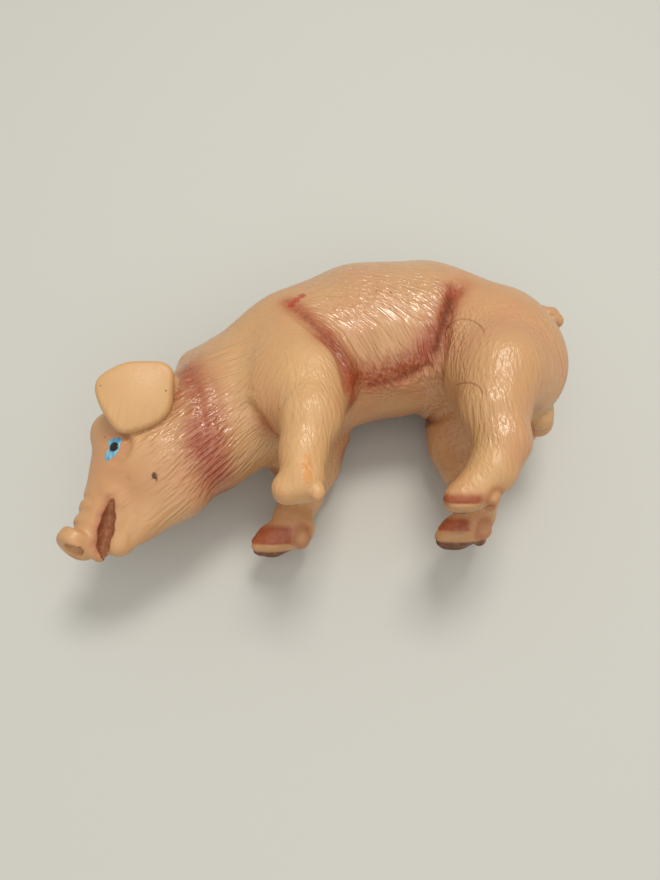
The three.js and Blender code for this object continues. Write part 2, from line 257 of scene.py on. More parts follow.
@dataclass
class Head:
    """Neck, cheeks, brow, muzzle, jaw and snout disc."""

    neck: tuple = ((10.5, 0, 17.4, 8.1), (15.6, 0, 13.1, 7.6), (20.0, 0, 9.6, 7.1), (22.4, 0, 7.6, 5.2))
    crest: tuple = ((12.5, 0.6, 22.8, 2.4), (16.9, 1.4, 21.6, 2.1))
    brow_at: tuple = (24.15, 0, 11.6)
    brow_radii: tuple = (3.4, 4.5, 4.75)
    muzzle: tuple = ((22.4, 0, 7.6, 4.9), (24.7, 0, 3.4, 3.3), (26.2, 0, 0.6, 2.6))
    lip: tuple = ((26.4, 0, -1.0, 1.6), (25.3, 0, -2.5, 0.85))
    jaw: tuple = ((17.8, 0, 5.4, 3.7), (21.4, 0, 1.9, 2.5), (23.3, 0, -1.0, 1.7))
    snout_at: tuple = (28.1, 0.1, -1.35)
    snout_pitch: float = -62.0
    snout_yaw: float = 10.0
    snout_radii: tuple = (2.8, 2.12)
    nostril_at: tuple = (1.05, 1.2, -0.65)
    nostril_radii: tuple = (1.2, 0.95, 1.1)
    mouth: tuple = ((23.9, 3.2, 2.4, 0.3), (24.2, 2.3, 0.9, 0.62), (24.45, 1.7, -0.4, 0.78),
                    (24.7, 1.0, -1.9, 0.6), (24.75, 0.3, -2.8, 0.28))
    eye_at: tuple = (23.75, 5.4, 8.0)
    creases: tuple = (
        Crease(((28.4, 0.0, 4.0), (27.4, 2.2, 3.5), (26.4, 3.0, 2.9)), 0.32, 0.26),
        Crease(((28.8, 0.0, 2.3), (27.6, 2.0, 1.9), (26.6, 2.7, 1.6)), 0.32, 0.30),
        Crease(((29.0, 0.0, 0.6), (27.8, 2.0, 0.3), (26.4, 2.6, -0.1), (25.8, 2.4, -1.2)), 0.34, 0.30),
        Crease(((24.0, 3.3, 2.7), (23.1, 3.9, 3.7), (22.2, 4.4, 4.4)), 0.35, 0.16),
        Crease(((24.6, 3.6, 3.6), (23.5, 3.7, 3.3), (22.9, 3.3, 2.2)), 0.8, -0.28),
        Crease(((22.0, 0.4, -1.3), (21.5, 1.6, -0.4), (21.2, 2.6, 0.9)), 0.55, 0.22),
        Crease(((15.9, 6.6, 16.6), (14.7, 7.0, 13.6), (14.1, 6.4, 10.6)), 0.5, 0.14),
        Crease(((13.8, 7.0, 16.4), (12.7, 7.2, 13.6), (12.3, 6.4, 10.6)), 0.5, 0.12),
    )

    def at_snout(self, p: Points) -> Points:
        """Points in the snout disc's own frame: out of it, across it and up it."""
        return (p - np.asarray(self.snout_at)) @ turned(yaw=self.snout_yaw, pitch=self.snout_pitch)

    def snout(self, p: Points) -> Values:
        """The snout disc: a rounded, slightly domed plate across the end of the muzzle."""
        q = self.at_snout(p)
        size, rounding = 2.9, 0.55
        spread = np.hypot(q[:, 1] / self.snout_radii[0], q[:, 2] / self.snout_radii[1]) * size
        dome = 0.06 * spread * spread
        return plate(spread - size + rounding, np.abs(q[:, 0] - 0.42 + dome) - 0.3) - rounding

    def field(self, p: Points) -> Values:
        """Field of the whole head and neck, without ears."""
        out = chain(p, self.neck, 1.5, 0.86)
        out = smooth_union(out, chain(p, self.crest, 0.5), 1.2)
        front = smooth_union(chain(p, self.muzzle, 1.0, 0.9), chain(p, self.jaw, 1.0, 0.9), 1.0)
        front = smooth_union(front, chain(p, self.lip, 0.3), 0.5)
        brow = ellipsoid(p, self.brow_at, self.brow_radii, turned(pitch=-65))
        out = smooth_union(out, smooth_union(front, brow, 1.6), 1.6)
        return smooth_union(out, self.snout(p), 0.9)

    def mouth_field(self, p: Points) -> Values:
        """Field of the slit between the muzzle and the jaw, on both sides."""
        return chain(both_sides(p), self.mouth, 0.3)

    def nostrils(self, p: Points) -> Values:
        """Field of both nostrils."""
        return ellipsoid(both_sides(self.at_snout(p)), self.nostril_at, self.nostril_radii)

    def eye_relief(self, p: Points) -> Values:
        """How far the lids and the socket take the skin in round an eye, and the eyeball lets it out."""
        q = both_sides(p) - np.asarray(self.eye_at)
        reach = np.linalg.norm(q, axis=1)
        behind = ease(q[:, 0], 0.9, -0.7)
        fold = 0.26 * bell(reach - 1.8, 0.4) * behind
        lid = 0.10 * bell(reach - 2.5, 0.6) * behind
        return fold - lid + 0.12 * bell(reach, 1.4) - 0.10 * bell(reach, 0.8)

    def carve(self, p: Points, out: Values) -> Values:
        """Cuts the mouth, the nostrils and the folds of the face into a skin."""
        out = out + self.eye_relief(p)
        out = smooth_cut(out, self.mouth_field(p), 0.14)
        return smooth_cut(out, self.nostrils(p), 0.35)


@dataclass
class Ear:
    """A thick flap that hangs over the eye, with a crisp rounded rim."""

    centre: tuple = (21.5, 8.3, 12.9)
    out: tuple = (-0.16, 0.93, -0.33)
    tip: tuple = (0.45, 0.12, -0.9)
    radius: float = 3.92
    corners: tuple = ((0.25, 0.35, 0.50), (-1.32, 0.42, 0.60), (2.92, 0.42, 1.15), (1.75, 0.45, 0.22))
    rim: float = 0.58
    root: tuple = ((18.4, 4.8, 15.6, 1.9), (20.0, 7.2, 14.2, 1.3))

    def local(self, p: Points) -> Points:
        """Points in the flap's own frame: along it, across it and out of it."""
        n = np.asarray(self.out) / np.linalg.norm(self.out)
        a = np.asarray(self.tip) - np.dot(self.tip, n) * n
        a /= np.linalg.norm(a)
        return (p - np.asarray(self.centre)) @ np.stack([a, np.cross(n, a), n], axis=1)

    def edge(self, q: Points) -> Values:
        """The flap's radius in the direction of each local point; corners are (angle, half width, rise)."""
        angle = np.arctan2(q[:, 1], q[:, 0])
        out = np.full(len(q), self.radius)
        for at, half_width, rise in self.corners:
            out += rise * bell((angle - at + np.pi) % (2 * np.pi) - np.pi, half_width)
        return out

    def field(self, p: Points) -> Values:
        """Field of the left ear with its root."""
        q = self.local(p)
        spread = np.hypot(q[:, 0], q[:, 1])
        across = spread - self.edge(q) + self.rim
        thicker = 0.2 * np.maximum(1.0 - (spread / 4.2) ** 2, 0.0)
        through = np.abs(q[:, 2] + 0.022 * spread ** 2) - 0.2 - thicker
        return smooth_union(plate(across, through) - self.rim, chain(p, self.root, 0.5), 0.8)


@dataclass
class Tail:
    """Short curled stub."""

    curl: tuple = ((-26.0, 0, 29.8, 1.3), (-28.3, -0.2, 31.7, 1.15), (-29.7, -0.2, 31.5, 1.05),
                   (-30.1, 0.1, 30.3, 0.95), (-29.3, 0.9, 29.7, 0.7))

    def field(self, p: Points) -> Values:
        """Field of the tail."""
        return chain(p, self.curl, 0.3)


@dataclass
class Leg:
    """A leg down to its cloven hoof.

    joints, foot and dewclaws are balls (x, y, z, radius). paint_from is where the hoof's paint begins along
    the line that its bands are stacked on, and bands are the heights of the sole's edge, the nail and the
    coronet. wear is how much of the paint and the nail's lines is rubbed away, and toe is how far back from
    the toe's ball the paint reaches.
    """

    joints: tuple
    foot: tuple
    dewclaws: tuple
    paint_from: float
    bands: tuple
    wear: float = 0.0
    toe: float = 2.4

    def field(self, p: Points) -> Values:
        """Field of the leg."""
        out = smooth_union(chain(p, self.joints, 1.2), chain(p, self.foot, 0.5), 0.8)
        for x, y, z, r in self.dewclaws:
            out = smooth_union(out, ellipsoid(p, (x, y, z), (r, r * 0.85, r * 1.2)), 0.3)
        return out

    def sink(self, p: Points) -> Values:
        """The cleft between the two claws, and the line round the top of the nail."""
        x, y, z, r = self.foot[-1]
        line = ((x - 0.3 * r, z + r), (x + 0.7 * r, z + 0.7 * r), (x + r, z), (x + 0.6 * r, z - 0.9 * r),
                (x - 1.6 * r, z - 1.1 * r))
        cleft = Crease(tuple((a, abs(y), b) for a, b in line), 0.3, 0.45 - 0.3 * self.wear)
        reach = np.linalg.norm(p - np.array([x, y, z]), axis=1)
        close = reach < r + 2.6
        out = np.zeros(len(p))
        q = p[close]
        height = self.stack(q)
        nail = ease(q[:, 0], x - self.toe, x - self.toe + 1.0) * (1.0 - self.wear)
        groove = 0.10 * bell(height - self.bands[1], 0.18) + 0.10 * bell(height - self.bands[0], 0.15)
        out[close] = groove * nail + cleft.sink(q)
        return out

    def stack(self, p: Points) -> Values:
        """Height along the line that the hoof's bands of paint are stacked on."""
        return p @ np.array(UP_FLANK) - self.paint_from


LEGS = {
    "front_left_leg": Leg(((2.2, 6.2, 15.8, 4.9), (2.1, 7.9, 10.4, 3.35), (2.8, 8.0, 6.0, 2.4),
                           (2.9, 7.8, 3.2, 2.3)),
                          ((2.8, 7.8, 2.5, 2.2), (4.4, 7.8, 1.7, 1.7)),
                          ((1.3, 8.6, 1.05, 0.85), (1.5, 6.6, 1.3, 0.7)), 3.6, (0.3, 0.9, 1.6), 0.9),
    "front_right_leg": Leg(((3.4, -7.0, 15.5, 4.9), (2.6, -7.6, 12.8, 3.7), (3.7, -7.3, 7.9, 2.5),
                            (4.8, -7.0, 5.0, 2.3)),
                           ((4.3, -7.0, 3.6, 2.45), (7.0, -7.0, 1.95, 1.95), (8.3, -7.0, 1.35, 1.35)),
                           ((3.5, -5.6, 1.9, 1.0), (3.5, -7.9, 2.3, 0.95)), -3.7, (0.7, 1.6, 3.9), toe=3.5),
    "rear_left_leg": Leg(((-19.6, 6.8, 17.0, 5.4), (-18.2, 7.4, 11.8, 3.7), (-18.6, 7.3, 7.6, 2.9),
                          (-17.3, 6.9, 4.4, 2.4), (-15.6, 6.5, 2.8, 2.1)),
                         ((-15.3, 6.5, 2.2, 2.0), (-14.0, 6.4, 1.5, 1.75), (-13.2, 6.4, 1.15, 1.45)),
                         ((-16.9, 7.0, 1.2, 0.75), (-16.9, 5.3, 1.2, 0.75)), 2.45, (0.4, 1.4, 2.45)),
    "rear_right_leg": Leg(((-18.0, -5.6, 19.5, 5.2), (-16.8, -6.4, 15.0, 3.8), (-17.4, -6.2, 11.5, 3.1),
                           (-18.3, -5.8, 8.0, 2.7), (-17.7, -5.4, 4.8, 2.5)),
                          ((-16.8, -5.2, 3.2, 2.3), (-15.1, -5.2, 2.2, 1.95), (-14.0, -5.2, 1.7, 1.55)),
                          ((-18.2, -4.2, 2.2, 0.95), (-18.0, -6.3, 2.1, 0.95)), -2.85, (1.25, 2.5, 4.1)),
}


@dataclass
class Scrotum:
    """Two lobes below the rump."""

    lobes: tuple = (((-25.2, 1.4, 15.2), (1.8, 1.8, 2.4)), ((-26.0, -1.6, 16.0), (1.9, 1.8, 2.4)))

    def field(self, p: Points) -> Values:
        """Field of both lobes."""
        left, right = (ellipsoid(p, *lobe) for lobe in self.lobes)
        return smooth_union(left, right, 0.3)


@dataclass
class Piglet:
    """The whole animal as one skin."""

    torso: Torso = field(default_factory=Torso)
    head: Head = field(default_factory=Head)
    ear: Ear = field(default_factory=Ear)
    tail: Tail = field(default_factory=Tail)
    scrotum: Scrotum = field(default_factory=Scrotum)
    leg_blend: float = 2.2
    leg_reach: float = 6.5    # mm that a leg's box reaches past the middles of its balls
    leg_top: float = 26.0

    def leg_field(self, p: Points, leg: Leg) -> Values:
        """Field of one leg, worked out near it only."""
        xs = [ball[0] for ball in leg.joints + leg.foot]
        ys = [ball[1] for ball in leg.joints]
        low = (min(xs) - self.leg_reach, min(ys) - self.leg_reach, 0)
        high = (max(xs) + self.leg_reach, max(ys) + self.leg_reach, self.leg_top)
        return near_box(p, low, high, leg.field)

    def ear_field(self, p: Points, side: int) -> Values:
        """Field of one ear, worked out near it only."""
        return near_box(mirrored(p, side), (16, 3, 7), (27, 12, 19), self.ear.field)

    def skin(self, p: Points) -> Values:
        """Field of the skin before its folds are cut."""
        out = near_box(p, (-32, -12, 7), (19, 12, 40), self.torso.field)
        out = smooth_union(out, near_box(p, (1, -11, -6), (32, 11, 29), self.head.field), 1.8)
        for leg in LEGS.values():
            out = smooth_union(out, self.leg_field(p, leg), self.leg_blend)
        out = smooth_union(out, near_box(p, (-28, -4, 12), (-23, 4, 19), self.scrotum.field), 0.5)
        out = smooth_union(out, near_box(p, (-31, -2, 28), (-24, 2, 33), self.tail.field), 0.4)
        return out

    def surface(self, p: Points) -> Values:
        """Field of the finished skin, with its creases, mouth, nostrils, eyes, clefts and ears."""
        out = self.skin(p)
        for crease in self.torso.creases + self.head.creases:
            out = out + crease.sink(p)
        for leg in LEGS.values():
            out = out + leg.sink(p)
        face = p[:, 0] > 20.0
        if face.any():
            out[face] = self.head.carve(p[face], out[face])
        for side in (1, -1):
            out = smooth_union(out, self.ear_field(p, side), 0.15)
        return out


# ------------------------------------------------------------------ meshing


@dataclass
class Net:
    """A quad mesh in the animal's own millimetres."""

    verts: Points
    quads: np.ndarray


@dataclass(frozen=True)
class SkinMesher:
    """Meshes a distance field with a net of quads, one vertex to each cell that the surface runs through.

    A coarse grid finds where the surface is, and only the fine grid's nodes near it are worked out.
    """

    cell: float
    low: tuple = (-33.0, -13.2, -6.4)
    high: tuple = (33.0, 13.2, 41.6)
    coarse: int = 4         # fine cells to one coarse cell
    band: float = 1.0       # mm from the surface in which the fine nodes are worked out
    chunk: int = 200000     # nodes worked out at a time
    rounds: int = 3         # of relaxing and settling

    def sample(self, shape: Shape) -> tuple[np.ndarray, np.ndarray]:
        """Field values at the fine grid's nodes, and the grid's lowest corner."""
        step = self.cell * self.coarse
        low = np.asarray(self.low)
        counts = np.ceil((np.asarray(self.high) - low) / step).astype(int) + 1
        axes = [low[k] + step * np.arange(counts[k]) for k in range(3)]
        nodes = np.stack(np.meshgrid(*axes, indexing="ij"), axis=-1).reshape(-1, 3)
        values = shape(nodes).reshape(counts)
        for axis in range(3):
            n = values.shape[axis]
            at = np.arange((n - 1) * self.coarse + 1) / self.coarse
            first = np.minimum(at.astype(int), n - 2)
            part = (at - first).reshape([-1 if k == axis else 1 for k in range(3)])
            values = np.take(values, first, axis) * (1 - part) + np.take(values, first + 1, axis) * part
        near = np.argwhere(np.abs(values) < self.band)
        for nodes in np.array_split(near, max(1, len(near) // self.chunk)):
            values[tuple(nodes.T)] = shape(low + self.cell * nodes)
        return values, low

    def mesh(self, shape: Shape) -> Net:
        """A net over the whole surface, settled onto it."""
        values, low = self.sample(shape)
        solid = values < 0
        corners = [np.array(c) for c in np.ndindex(2, 2, 2)]
        count = sum(solid[tuple(slice(c[k], solid.shape[k] - 1 + c[k]) for k in range(3))].astype(np.int8)
                    for c in corners)
        cells = np.argwhere((count > 0) & (count < 8))
        number = np.full(count.shape, -1, dtype=np.int64)
        number[tuple(cells.T)] = np.arange(len(cells))
        at_corner = {tuple(c): values[tuple((cells + c).T)] for c in corners}
        total = np.zeros((len(cells), 3))
        crossings = np.zeros(len(cells))
        for c in corners:
            for axis in range(3):
                if c[axis]:
                    continue
                d = c.copy()
                d[axis] = 1
                a, b = at_corner[tuple(c)], at_corner[tuple(d)]
                crossed = (a < 0) != (b < 0)
                t = np.where(crossed, a / np.where(a == b, 1.0, a - b), 0.0)
                point = np.repeat(c[None, :].astype(float), len(cells), axis=0)
                point[:, axis] += t
                total += np.where(crossed[:, None], point, 0.0)
                crossings += crossed
        net = Net(low + self.cell * (cells + total / crossings[:, None]), self.quads(solid, number))
        for _ in range(self.rounds):
            net.verts = self.relax(net)
            net.verts = self.settle(net.verts, shape)
        return net

    def quads(self, solid: np.ndarray, number: np.ndarray) -> np.ndarray:
        """Quads across every grid edge that the surface cuts.

        Args:
            solid: whether each node is inside.
            number: the vertex number of each cell, or -1.

        Returns:
            The quads' vertex numbers.
        """
        quads = []
        for axis in range(3):
            near = np.take(solid, np.arange(solid.shape[axis] - 1), axis)
            far = np.take(solid, np.arange(1, solid.shape[axis]), axis)
            edges = np.argwhere(near != far)
            u, v = (axis + 1) % 3, (axis + 2) % 3
            edges = edges[(edges[:, u] > 0) & (edges[:, v] > 0)]
            leaving = near[tuple(edges.T)]
            ring = []
            for du, dv in ((1, 1), (0, 1), (0, 0), (1, 0)):
                cell = edges.copy()
                cell[:, u] -= du
                cell[:, v] -= dv
                ring.append(number[tuple(cell.T)])
            ring = np.stack(ring, axis=1)
            ring[~leaving] = ring[~leaving][:, ::-1]
            quads.append(ring)
        return np.concatenate(quads)

    def relax(self, net: Net) -> Points:
        """Vertices moved half way to the middle of their neighbours."""
        start, end = quad_edges(net.quads).T
        n = len(net.verts)
        degree = np.bincount(start, minlength=n)
        total = np.stack([np.bincount(start, net.verts[end, k], minlength=n) for k in range(3)], axis=1)
        return 0.5 * net.verts + 0.5 * total / np.maximum(degree, 1)[:, None]

    def settle(self, verts: Points, shape: Shape) -> Points:
        """Vertices moved onto the surface along its slope."""
        value = shape(verts)
        slope = gradient(shape, verts)
        size2 = np.maximum((slope ** 2).sum(axis=1), 0.09)
        move = slope * (value / size2)[:, None]
        length = np.linalg.norm(move, axis=1)
        return verts - move * np.minimum(1.0, 0.5 * self.cell / np.maximum(length, 1e-9))[:, None]


def quad_edges(quads: np.ndarray) -> np.ndarray:
    """Start and end of every side of some quads."""
    return np.concatenate([quads[:, [k, (k + 1) % 4]] for k in range(4)])


def gradient(shape: Shape, p: Points, step: float = 0.04) -> Points:
    """Slope of a field."""
    out = np.empty_like(p)
    for k in range(3):
        offset = np.zeros(3)
        offset[k] = step
        out[:, k] = (shape(p + offset) - shape(p - offset)) / (2 * step)
    return out


def unit(v: Points) -> Points:
    """Vectors brought to length 1."""
    return v / np.maximum(np.linalg.norm(v, axis=-1, keepdims=True), 1e-9)


# ------------------------------------------------------------------ the animal's place in the part


@dataclass
class Lie:
    """Where the animal's own frame is in the part's frame, found from the CAD nodes.

    roll and pitch are how it lies: on its right side, resting on ear, shoulder and haunch. The three offsets
    come from the soles, the head's middle and the end of the rump.
    """

    roll: float = 94.7
    pitch: float = 1.0
    rump_x: float = -30.6
    turn: Matrix = field(init=False)
    shift: np.ndarray = field(init=False)

    def __post_init__(self) -> None:
        """Works out the turn and the shift."""
        self.turn = (Matrix.Rotation(np.pi, 3, "Z") @ Matrix.Rotation(np.radians(self.pitch), 3, "Y")
                     @ Matrix.Rotation(np.radians(self.roll), 3, "X"))
        axes = np.array(self.turn)
        reach = {name: self.corners(name) @ axes for name in ("torso", "head", *LEGS)}
        x = reach["torso"][:, 0].min() - self.rump_x
        y = (reach["head"][:, 1].min() + reach["head"][:, 1].max()) / 2
        z = min(reach[name][:, 2].min() for name in LEGS)
        self.shift = axes @ np.array([x, y, z])

    def corners(self, name: str) -> Points:
        """A CAD node's vertices, in millimetres."""
        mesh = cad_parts[name].data
        flat = np.empty(len(mesh.vertices) * 3, dtype=np.float32)
        mesh.vertices.foreach_get("co", flat)
        return flat.reshape(-1, 3).astype(float) / MM

    def place(self, p: Points) -> Points:
        """Points of the animal in the part's frame, in metres."""
        return (p @ np.array(self.turn).T + self.shift) * MM

    def rest(self, p: Points) -> None:
        """Lifts or lowers the animal so that its lowest point just meets the table."""
        self.shift[2] -= self.place(p)[:, 2].min() / MM

    def aim(self, v: Points) -> Points:
        """Directions of the animal in the part's frame."""
        return v @ np.array(self.turn).T


# ------------------------------------------------------------------ hair, paint and dirt, vertex by vertex


@dataclass(frozen=True)
class Coat:
    """The way that the moulded hair lies, and how deep it is.

    Each guide is (x, z, angle, depth): a place on the side, the slope of the hair there, in degrees from the
    animal's forward line up the flank, and its depth as a share of the deepest.
    """

    guides: tuple = (
        (-2.0, 35.0, 12, 0.75), (8.0, 31.0, 20, 0.45), (-14.0, 36.0, 14, 0.7), (-21.0, 34.0, 40, 0.45),
        (-27.0, 27.0, 75, 0.5), (-1.5, 26.5, 30, 0.95), (-6.5, 26.0, 38, 1.0), (-11.0, 25.0, 46, 1.0),
        (-4.5, 31.0, 24, 0.8), (-11.0, 31.0, 30, 0.8), (-2.8, 18.0, 60, 0.9), (-7.2, 19.0, 68, 1.0),
        (-11.5, 20.0, 74, 0.9), (-17.5, 27.0, 80, 0.3), (-18.0, 18.0, 92, 0.45), (-21.0, 12.0, 90, 0.5),
        (-17.0, 8.0, 88, 0.6), (-15.5, 4.5, 70, 0.4), (8.5, 25.0, 8, 0.4), (4.5, 22.0, 20, 0.22),
        (2.6, 17.5, 70, 0.28), (3.2, 11.0, 88, 0.5), (2.0, 6.5, 90, 0.5), (6.5, 15.0, 115, 0.28),
        (10.5, 17.5, 165, 0.55), (10.0, 13.5, 140, 0.6), (13.8, 13.5, 150, 1.0), (13.8, 18.5, 160, 0.8),
        (14.6, 8.5, 142, 0.95), (18.3, 6.3, 142, 0.6), (18.6, 9.0, 142, 0.8), (20.7, 3.6, 148, 0.25),
        (16.5, 3.2, 148, 0.6), (23.5, 5.0, 150, 0.08), (26.0, 1.0, 90, 0.0), (25.0, 12.0, 100, 0.08),
        (23.0, -1.0, 120, 0.1), (-5.0, 14.8, 5, 0.12), (-9.5, 15.6, 5, 0.12), (3.0, 3.0, 90, 0.3),
    )
    banks: int = 9

    def lay(self, p: Points) -> tuple[Values, Values]:
        """Angle of the hair, 0 to 180, and its depth, at each point."""
        guides = np.array(self.guides, dtype=float)
        away2 = (p[:, None, 0] - guides[None, :, 0]) ** 2 + (p[:, None, 2] - guides[None, :, 1]) ** 2
        weight = 1.0 / (away2 + 0.6) ** 2
        weight /= weight.sum(axis=1, keepdims=True)
        twice = np.radians(2.0 * guides[:, 2])
        angle = np.degrees(np.arctan2(weight @ np.sin(twice), weight @ np.cos(twice))) / 2.0 % 180.0
        return angle, weight @ guides[:, 3]

    def shares(self, p: Points, keep: Values) -> np.ndarray:
        """How much of each bank's strokes shows at each point, shaped for three vector attributes."""
        angle, depth = self.lay(p)
        step = 180.0 / self.banks
        bank = angle / step
        low = np.floor(bank).astype(int) % self.banks
        part = ease(bank - np.floor(bank), 0.3, 0.7)
        out = np.zeros((len(p), self.banks))
        rows = np.arange(len(p))
        out[rows, low] = (1.0 - part) * depth * keep
        out[rows, (low + 1) % self.banks] += part * depth * keep
        return out.reshape(len(p), 3, 3)


@dataclass(frozen=True)
class Brushed:
    """A soft patch of colour along a line on the left side, with its mirror image on the right; used for
    paint, for yellowing, and for painted shade with dirt.
    """

    line: tuple
    half_width: float
    strength: float

    def at(self, p: Points) -> Values:
        """Cover at each point."""
        return self.strength * bell(line_distance(both_sides(p), self.line), self.half_width)


def covered(patches: Sequence[Brushed], p: Points) -> Values:
    """Cover of several patches together, 0 to 1."""
    bare = np.ones(len(p))
    for patch in patches:
        bare *= 1.0 - np.clip(patch.at(p), 0.0, 1.0)
    return 1.0 - bare


@dataclass(frozen=True)
class Paintwork:
    """Where the airbrushed red-brown, the painted shade and dirt of the creases, and the yellowed vinyl are.
    """

    blush: tuple = (
        Brushed(((5.0, 8.4, 26.2), (3.0, 9.1, 23.8), (0.5, 9.5, 20.8)), 1.2, 0.7),
        Brushed(((0.2, 9.6, 19.6), (-1.6, 9.0, 17.6), (-2.8, 7.8, 16.0)), 1.7, 0.9),
        Brushed(((-2.2, 8.2, 16.4), (-4.8, 5.4, 17.6), (-7.6, 5.2, 18.6), (-10.2, 5.9, 19.8),
                 (-12.2, 7.0, 21.4)), 1.9, 0.8),
        Brushed(((-2.4, 7.4, 15.4), (-4.9, 4.5, 17.0), (-7.7, 4.3, 17.9), (-10.2, 5.1, 19.1)), 0.9, 0.7),
        Brushed(((-11.6, 6.6, 20.0), (-13.0, 7.7, 22.6), (-13.8, 8.3, 25.0), (-14.8, 8.4, 27.6)), 1.5, 0.95),
        Brushed(((-15.4, 8.4, 28.0), (-17.0, 8.6, 29.6)), 1.2, 0.28),
        Brushed(((-10.5, 5.4, 17.6), (-13.0, 4.8, 17.8)), 1.4, 0.4),
        Brushed(((-1.9, 8.2, 14.4), (-2.3, 6.0, 13.6)), 1.5, 0.6),
        Brushed(((16.6, 5.8, 17.6), (15.2, 6.7, 14.6), (14.2, 6.6, 11.8), (13.8, 5.6, 8.8)), 2.1, 0.8),
        Brushed(((13.8, 5.5, 9.0), (13.1, 4.4, 7.2), (12.7, 2.4, 5.8)), 2.4, 0.92),
        Brushed(((17.6, 7.0, 15.6), (17.8, 7.4, 11.6), (20.2, 6.8, 10.2)), 0.9, 0.5),
        # painted shade: the fold behind the eye darkened in red-brown, a ring of shade round its socket
        Brushed(((22.9, 5.8, 9.6), (22.1, 5.9, 8.4), (22.4, 5.6, 7.2)), 0.4, 0.3),
        Brushed(((-2.4, 6.0, 13.6), (-6.2, 3.0, 15.6), (-10.6, 3.4, 17.0)), 2.0, 0.3),
        Brushed(((7.0, 5.6, 11.2), (5.4, 4.2, 8.8)), 1.6, 0.55),
        Brushed(((-23.6, 5.4, 12.9), (-22.2, 8.0, 11.4)), 0.8, 0.4),
    )
    # painted shade, with some dirt: dark brown along the creases, behind the ear and between the rear dewclaws
    shade_and_dirt: tuple = (
        Brushed(((-12.4, 6.8, 20.4), (-13.2, 7.8, 22.6), (-13.8, 8.2, 24.6), (-14.4, 8.4, 26.6)), 0.55, 1.0),
        Brushed(((3.0, 9.1, 23.4), (1.0, 9.4, 21.0), (-0.8, 9.4, 18.6), (-1.9, 8.8, 16.0)), 0.4, 0.4),
        Brushed(((-2.2, 7.4, 14.9), (-4.9, 4.4, 16.9), (-7.7, 4.2, 17.8), (-10.2, 5.0, 18.9)), 0.4, 0.5),
        Brushed(((18.0, 7.2, 15.2), (17.9, 7.4, 11.9)), 0.3, 0.45),
        Brushed(((7.6, 6.0, 10.8), (6.4, 5.0, 9.6)), 0.5, 0.5),
        Brushed(((-1.4, 6.4, 15.4), (-0.8, 6.6, 12.6), (0.0, 6.6, 10.6)), 0.35, 0.5),
        Brushed(((-23.4, 4.4, 14.0), (-25.5, 2.6, 17.0), (-27.4, 1.0, 18.4)), 0.35, 0.5),
        Brushed(((-16.0, 6.2, 2.6), (-16.3, 6.2, 1.2)), 0.5, 0.6),
    )
    pale: tuple = (
        Brushed(((3.0, 11.0, 15.0), (2.8, 11.0, 8.0), (3.2, 9.6, 3.0)), 3.6, 0.75),
        Brushed(((20.6, 5.6, 8.6), (21.4, 5.0, 7.0)), 1.0, 0.45),
        Brushed(((-16.2, 9.0, 4.6), (-15.0, 8.6, 2.2)), 1.8, 0.5),
        Brushed(((0.6, 10.0, 3.6), (1.6, 9.8, 1.4)), 1.2, 0.6),
        Brushed(((28.6, 0.0, -0.6), (28.0, 2.4, -1.4)), 1.4, 0.2),
    )

    def wash(self, p: Points, head: Head) -> Points:
        """Blush, painted shade with dirt, and yellowing at each point, as one vector."""
        reach = head.mouth_field(p)    # painted shade and dirt fill the slit; red-brown smears out of it towards the snout
        mouth = 1.0 - ease(reach, -0.1, 0.2)
        smear = (1.0 - ease(reach, -0.1, 1.0)) * ease(p[:, 0] + 0.16 * p[:, 2], 24.2, 24.9)
        nostril = 1.0 - ease(head.nostrils(p), -0.3, 0.15)
        blush = np.maximum.reduce([covered(self.blush, p), 0.6 * mouth, 0.6 * smear, 0.45 * nostril])
        # the creases, the slit of the mouth and the nostrils darkened: painted shade, with some dirt
        shade_and_dirt = np.maximum.reduce([covered(self.shade_and_dirt, p), 0.9 * mouth, 0.35 * nostril])
        return np.stack([blush, shade_and_dirt, covered(self.pale, p)], axis=1)

    def hooves(self, p: Points) -> Points:
        """Coronet, nail and sole paint at each point, as one vector."""
        out = np.zeros((len(p), 3))
        for leg in LEGS.values():
            x, y, z, _ = leg.foot[-1]
            near = np.linalg.norm((p - np.array([x - 0.4, y, z])) * np.array([1.0, 0.9, 1.0]), axis=1)
            close = 1.0 - ease(near, 3.8, 4.8)
            toe = ease(p[:, 0], x - leg.toe - 0.5, x - leg.toe + 0.5) * close
            height = leg.stack(p)
            edge, nail, coronet = leg.bands
            # each band fades over a tenth or two of a millimetre, and the coronet's top over most of one
            kept = 1.0 - leg.wear
            below_coronet = ease(height, coronet + 0.3, coronet - 0.5)
            below_nail = ease(height, nail + 0.12, nail - 0.12)
            out[:, 0] += kept * toe * ease(height, nail - 0.12, nail + 0.15) * below_coronet
            out[:, 1] += kept * toe * ease(height, edge - 0.12, edge + 0.12) * below_nail
            out[:, 2] += kept * close * ease(height, edge + 0.12, edge - 0.15)
            # a thinner ring of the coronet's paint round each dewclaw
            for *middle, radius in leg.dewclaws:
                gap = np.linalg.norm(p - np.array(middle), axis=1) - radius
                out[:, 0] += 0.55 * kept * bell(gap - 0.3, 0.4) * (p[:, 2] < middle[2] + 2.0)
        return np.clip(out, 0.0, 1.0)


# ------------------------------------------------------------------ pieces


class Piece(Enum):
    """The pieces that the skin is divided into."""

    TORSO = "torso"
    HEAD = "head"
    LEFT_EAR = "left_ear"
    RIGHT_EAR = "right_ear"
    TAIL = "tail"
    FRONT_LEFT_LEG = "front_left_leg"
    FRONT_RIGHT_LEG = "front_right_leg"
    REAR_LEFT_LEG = "rear_left_leg"
    REAR_RIGHT_LEG = "rear_right_leg"


